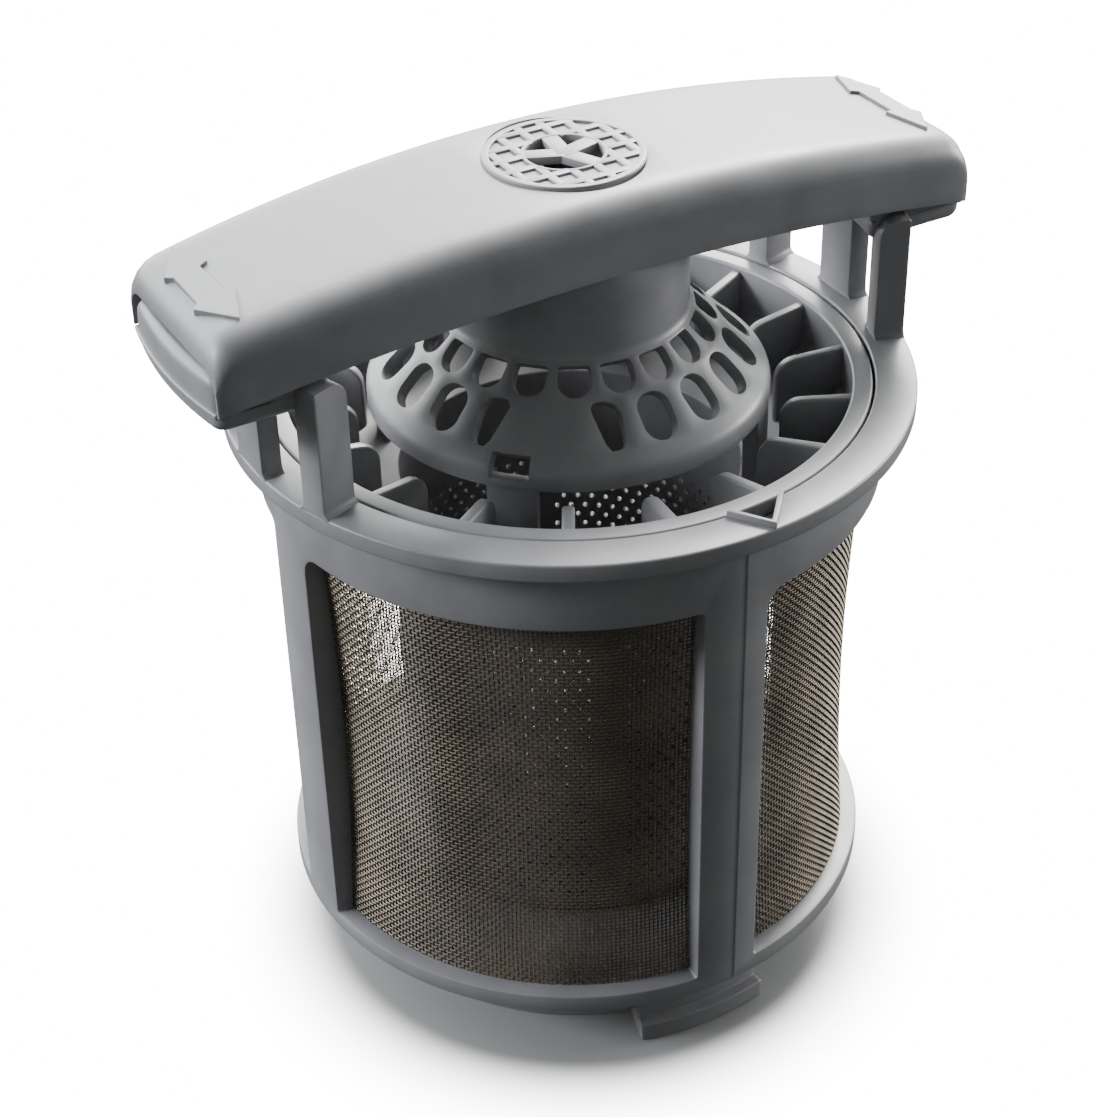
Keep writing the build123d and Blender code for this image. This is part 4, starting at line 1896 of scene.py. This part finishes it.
@dataclass
class Studio:
    """The floor, the light and the camera at the photograph's angle."""

    camera_place: tuple[float, float, float] = (-131.869, -233.362, 240.805)
    camera_target: tuple[float, float, float] = (-2.634, 1.45, 55.433)
    camera_roll: float = -1.388
    lens: float = 74.904
    sensor: float = 36.0
    clip_m: tuple[float, float] = (0.01, 20.0)
    floor_size_m: float = 6.0
    bright_side: tuple[float, float, float] = (0.26, 0.966, 0.0)
    bright_range: tuple[float, float] = (0.0, 0.5)
    front_light: float = 0.25
    back_light: float = 9.5
    horizon_range: tuple[float, float] = (-0.1, 0.1)
    overhead_range: tuple[float, float] = (0.45, 0.9)
    overhead_share: float = 0.2
    under_light: float = 0.12
    room_colour: str = "#FAFEFD"
    lamps: tuple[Lamp, ...] = (
        Lamp("far_right_softbox", 42.0, 38.0, 28.0, 9.0, "#FFFDF6"),
        Lamp("left_window", 158.0, 24.0, 16.0, 3.6, "#F6F8FF"),
        Lamp("right_window", -8.0, 8.0, 20.0, 3.2, "#FFFFFF"),
    )

    def set_camera(self) -> None:
        """Place the camera."""
        data = bpy.data.cameras.new("camera")
        data.lens, data.sensor_width = self.lens, self.sensor
        data.clip_start, data.clip_end = self.clip_m
        camera = bpy.data.objects.new("camera", data)
        place = Vector(self.camera_place) * METRES
        look = Vector(self.camera_target) * METRES - place
        aim = look.to_track_quat("-Z", "Y").to_matrix().to_4x4()
        roll = Matrix.Rotation(math.radians(self.camera_roll), 4, "Z")
        camera.matrix_world = Matrix.Translation(place) @ aim @ roll
        bpy.context.scene.collection.objects.link(camera)
        bpy.context.scene.camera = camera

    def set_floor(self) -> None:
        """Lay the paper that the filter stands on."""
        shape = bmesh.new()
        half = self.floor_size_m / 2
        bmesh.ops.create_grid(shape, x_segments=1, y_segments=1, size=half)
        mesh = bpy.data.meshes.new("studio_floor")
        shape.to_mesh(mesh)
        shape.free()
        mesh.materials.append(StudioPaper().make())
        floor = bpy.data.objects.new("studio_floor", mesh)
        # A real pale floor would light the filter from below and be mirrored in it.
        # This one does neither, which keeps the filter's lower parts and hollows dark
        floor.visible_diffuse = False
        floor.visible_glossy = False
        bpy.context.scene.collection.objects.link(floor)

    def set_room(self) -> None:
        """Surround the filter with a room, bright behind it and dim before it."""
        world = bpy.data.worlds.new("studio_room")
        bpy.context.scene.world = world
        sheet = NodeSheet(world)
        way = sheet.add("ShaderNodeTexCoord").outputs["Generated"]
        height = sheet.add("ShaderNodeSeparateXYZ", Vector=way).outputs["Z"]
        dot = {"operation": "DOT_PRODUCT"}
        behind = sheet.add("ShaderNodeVectorMath", dot, _0=way, _1=self.bright_side)
        share, above, overhead = (
            sheet.add(
                "ShaderNodeMapRange",
                {"interpolation_type": "SMOOTHSTEP"},
                Value=value,
                From_Min=spread[0],
                From_Max=spread[1],
                To_Min=first,
                To_Max=last,
            ).outputs["Result"]
            for value, spread, first, last in (
                (
                    behind.outputs["Value"],
                    self.bright_range,
                    self.front_light,
                    self.back_light,
                ),
                (height, self.horizon_range, 0.0, 1.0),
                (height, self.overhead_range, 1.0, self.overhead_share),
            )
        )
        sky = sheet.add(
            "ShaderNodeMath", {"operation": "MULTIPLY"}, _0=above, _1=overhead
        )
        strength = sheet.add(
            "ShaderNodeMath",
            {"operation": "MULTIPLY_ADD"},
            _0=share,
            _1=sky.outputs["Value"],
            _2=self.under_light,
        )
        back = sheet.add(
            "ShaderNodeBackground",
            Color=linear(self.room_colour),
            Strength=strength.outputs["Value"],
        )
        sheet.add("ShaderNodeOutputWorld", Surface=back.outputs["Background"])

    def hang(self, lamp: Lamp) -> None:
        """Hang a big soft lamp.

        Args:
            lamp: The lamp's place and light.
        """
        data = bpy.data.lights.new(lamp.name, "SUN")
        data.energy = lamp.strength
        data.angle = math.radians(lamp.spread)
        data.color = linear(lamp.colour)[:3]
        hung = bpy.data.objects.new(lamp.name, data)
        turn, lift = math.radians(lamp.turn), math.radians(lamp.lift)
        level = math.cos(lift)
        way = Vector((math.cos(turn) * level, math.sin(turn) * level, math.sin(lift)))
        hung.matrix_world = way.to_track_quat("Z", "Y").to_matrix().to_4x4()
        bpy.context.scene.collection.objects.link(hung)

    def build(self) -> None:
        """Set up the whole studio."""
        self.set_camera()
        self.set_floor()
        self.set_room()
        for lamp in self.lamps:
            self.hang(lamp)


def main() -> None:
    """Build every sub-assembly in order."""
    logging.basicConfig(level=logging.INFO, format="%(message)s")
    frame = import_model()
    LOG.info("the frame has %d nodes", len(frame["nodes"]))
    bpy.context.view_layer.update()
    Studio().build()
    plastic, wire = MouldedPolypropylene().make(), StainlessWire().make()
    finisher = Finisher({Slot.PLASTIC: plastic, Slot.MESH: wire})
    for part in (
        FlangeRing(finisher),
        CupFrame(finisher),
        WovenPanels(finisher),
        BasePlate(finisher),
        CoarseRing(finisher),
        StrainerTube(finisher),
        Dome(finisher),
        HandleCover(finisher),
    ):
        part.build()
        LOG.info("%s built", type(part).__name__)


if __name__ == "__main__":
    main()
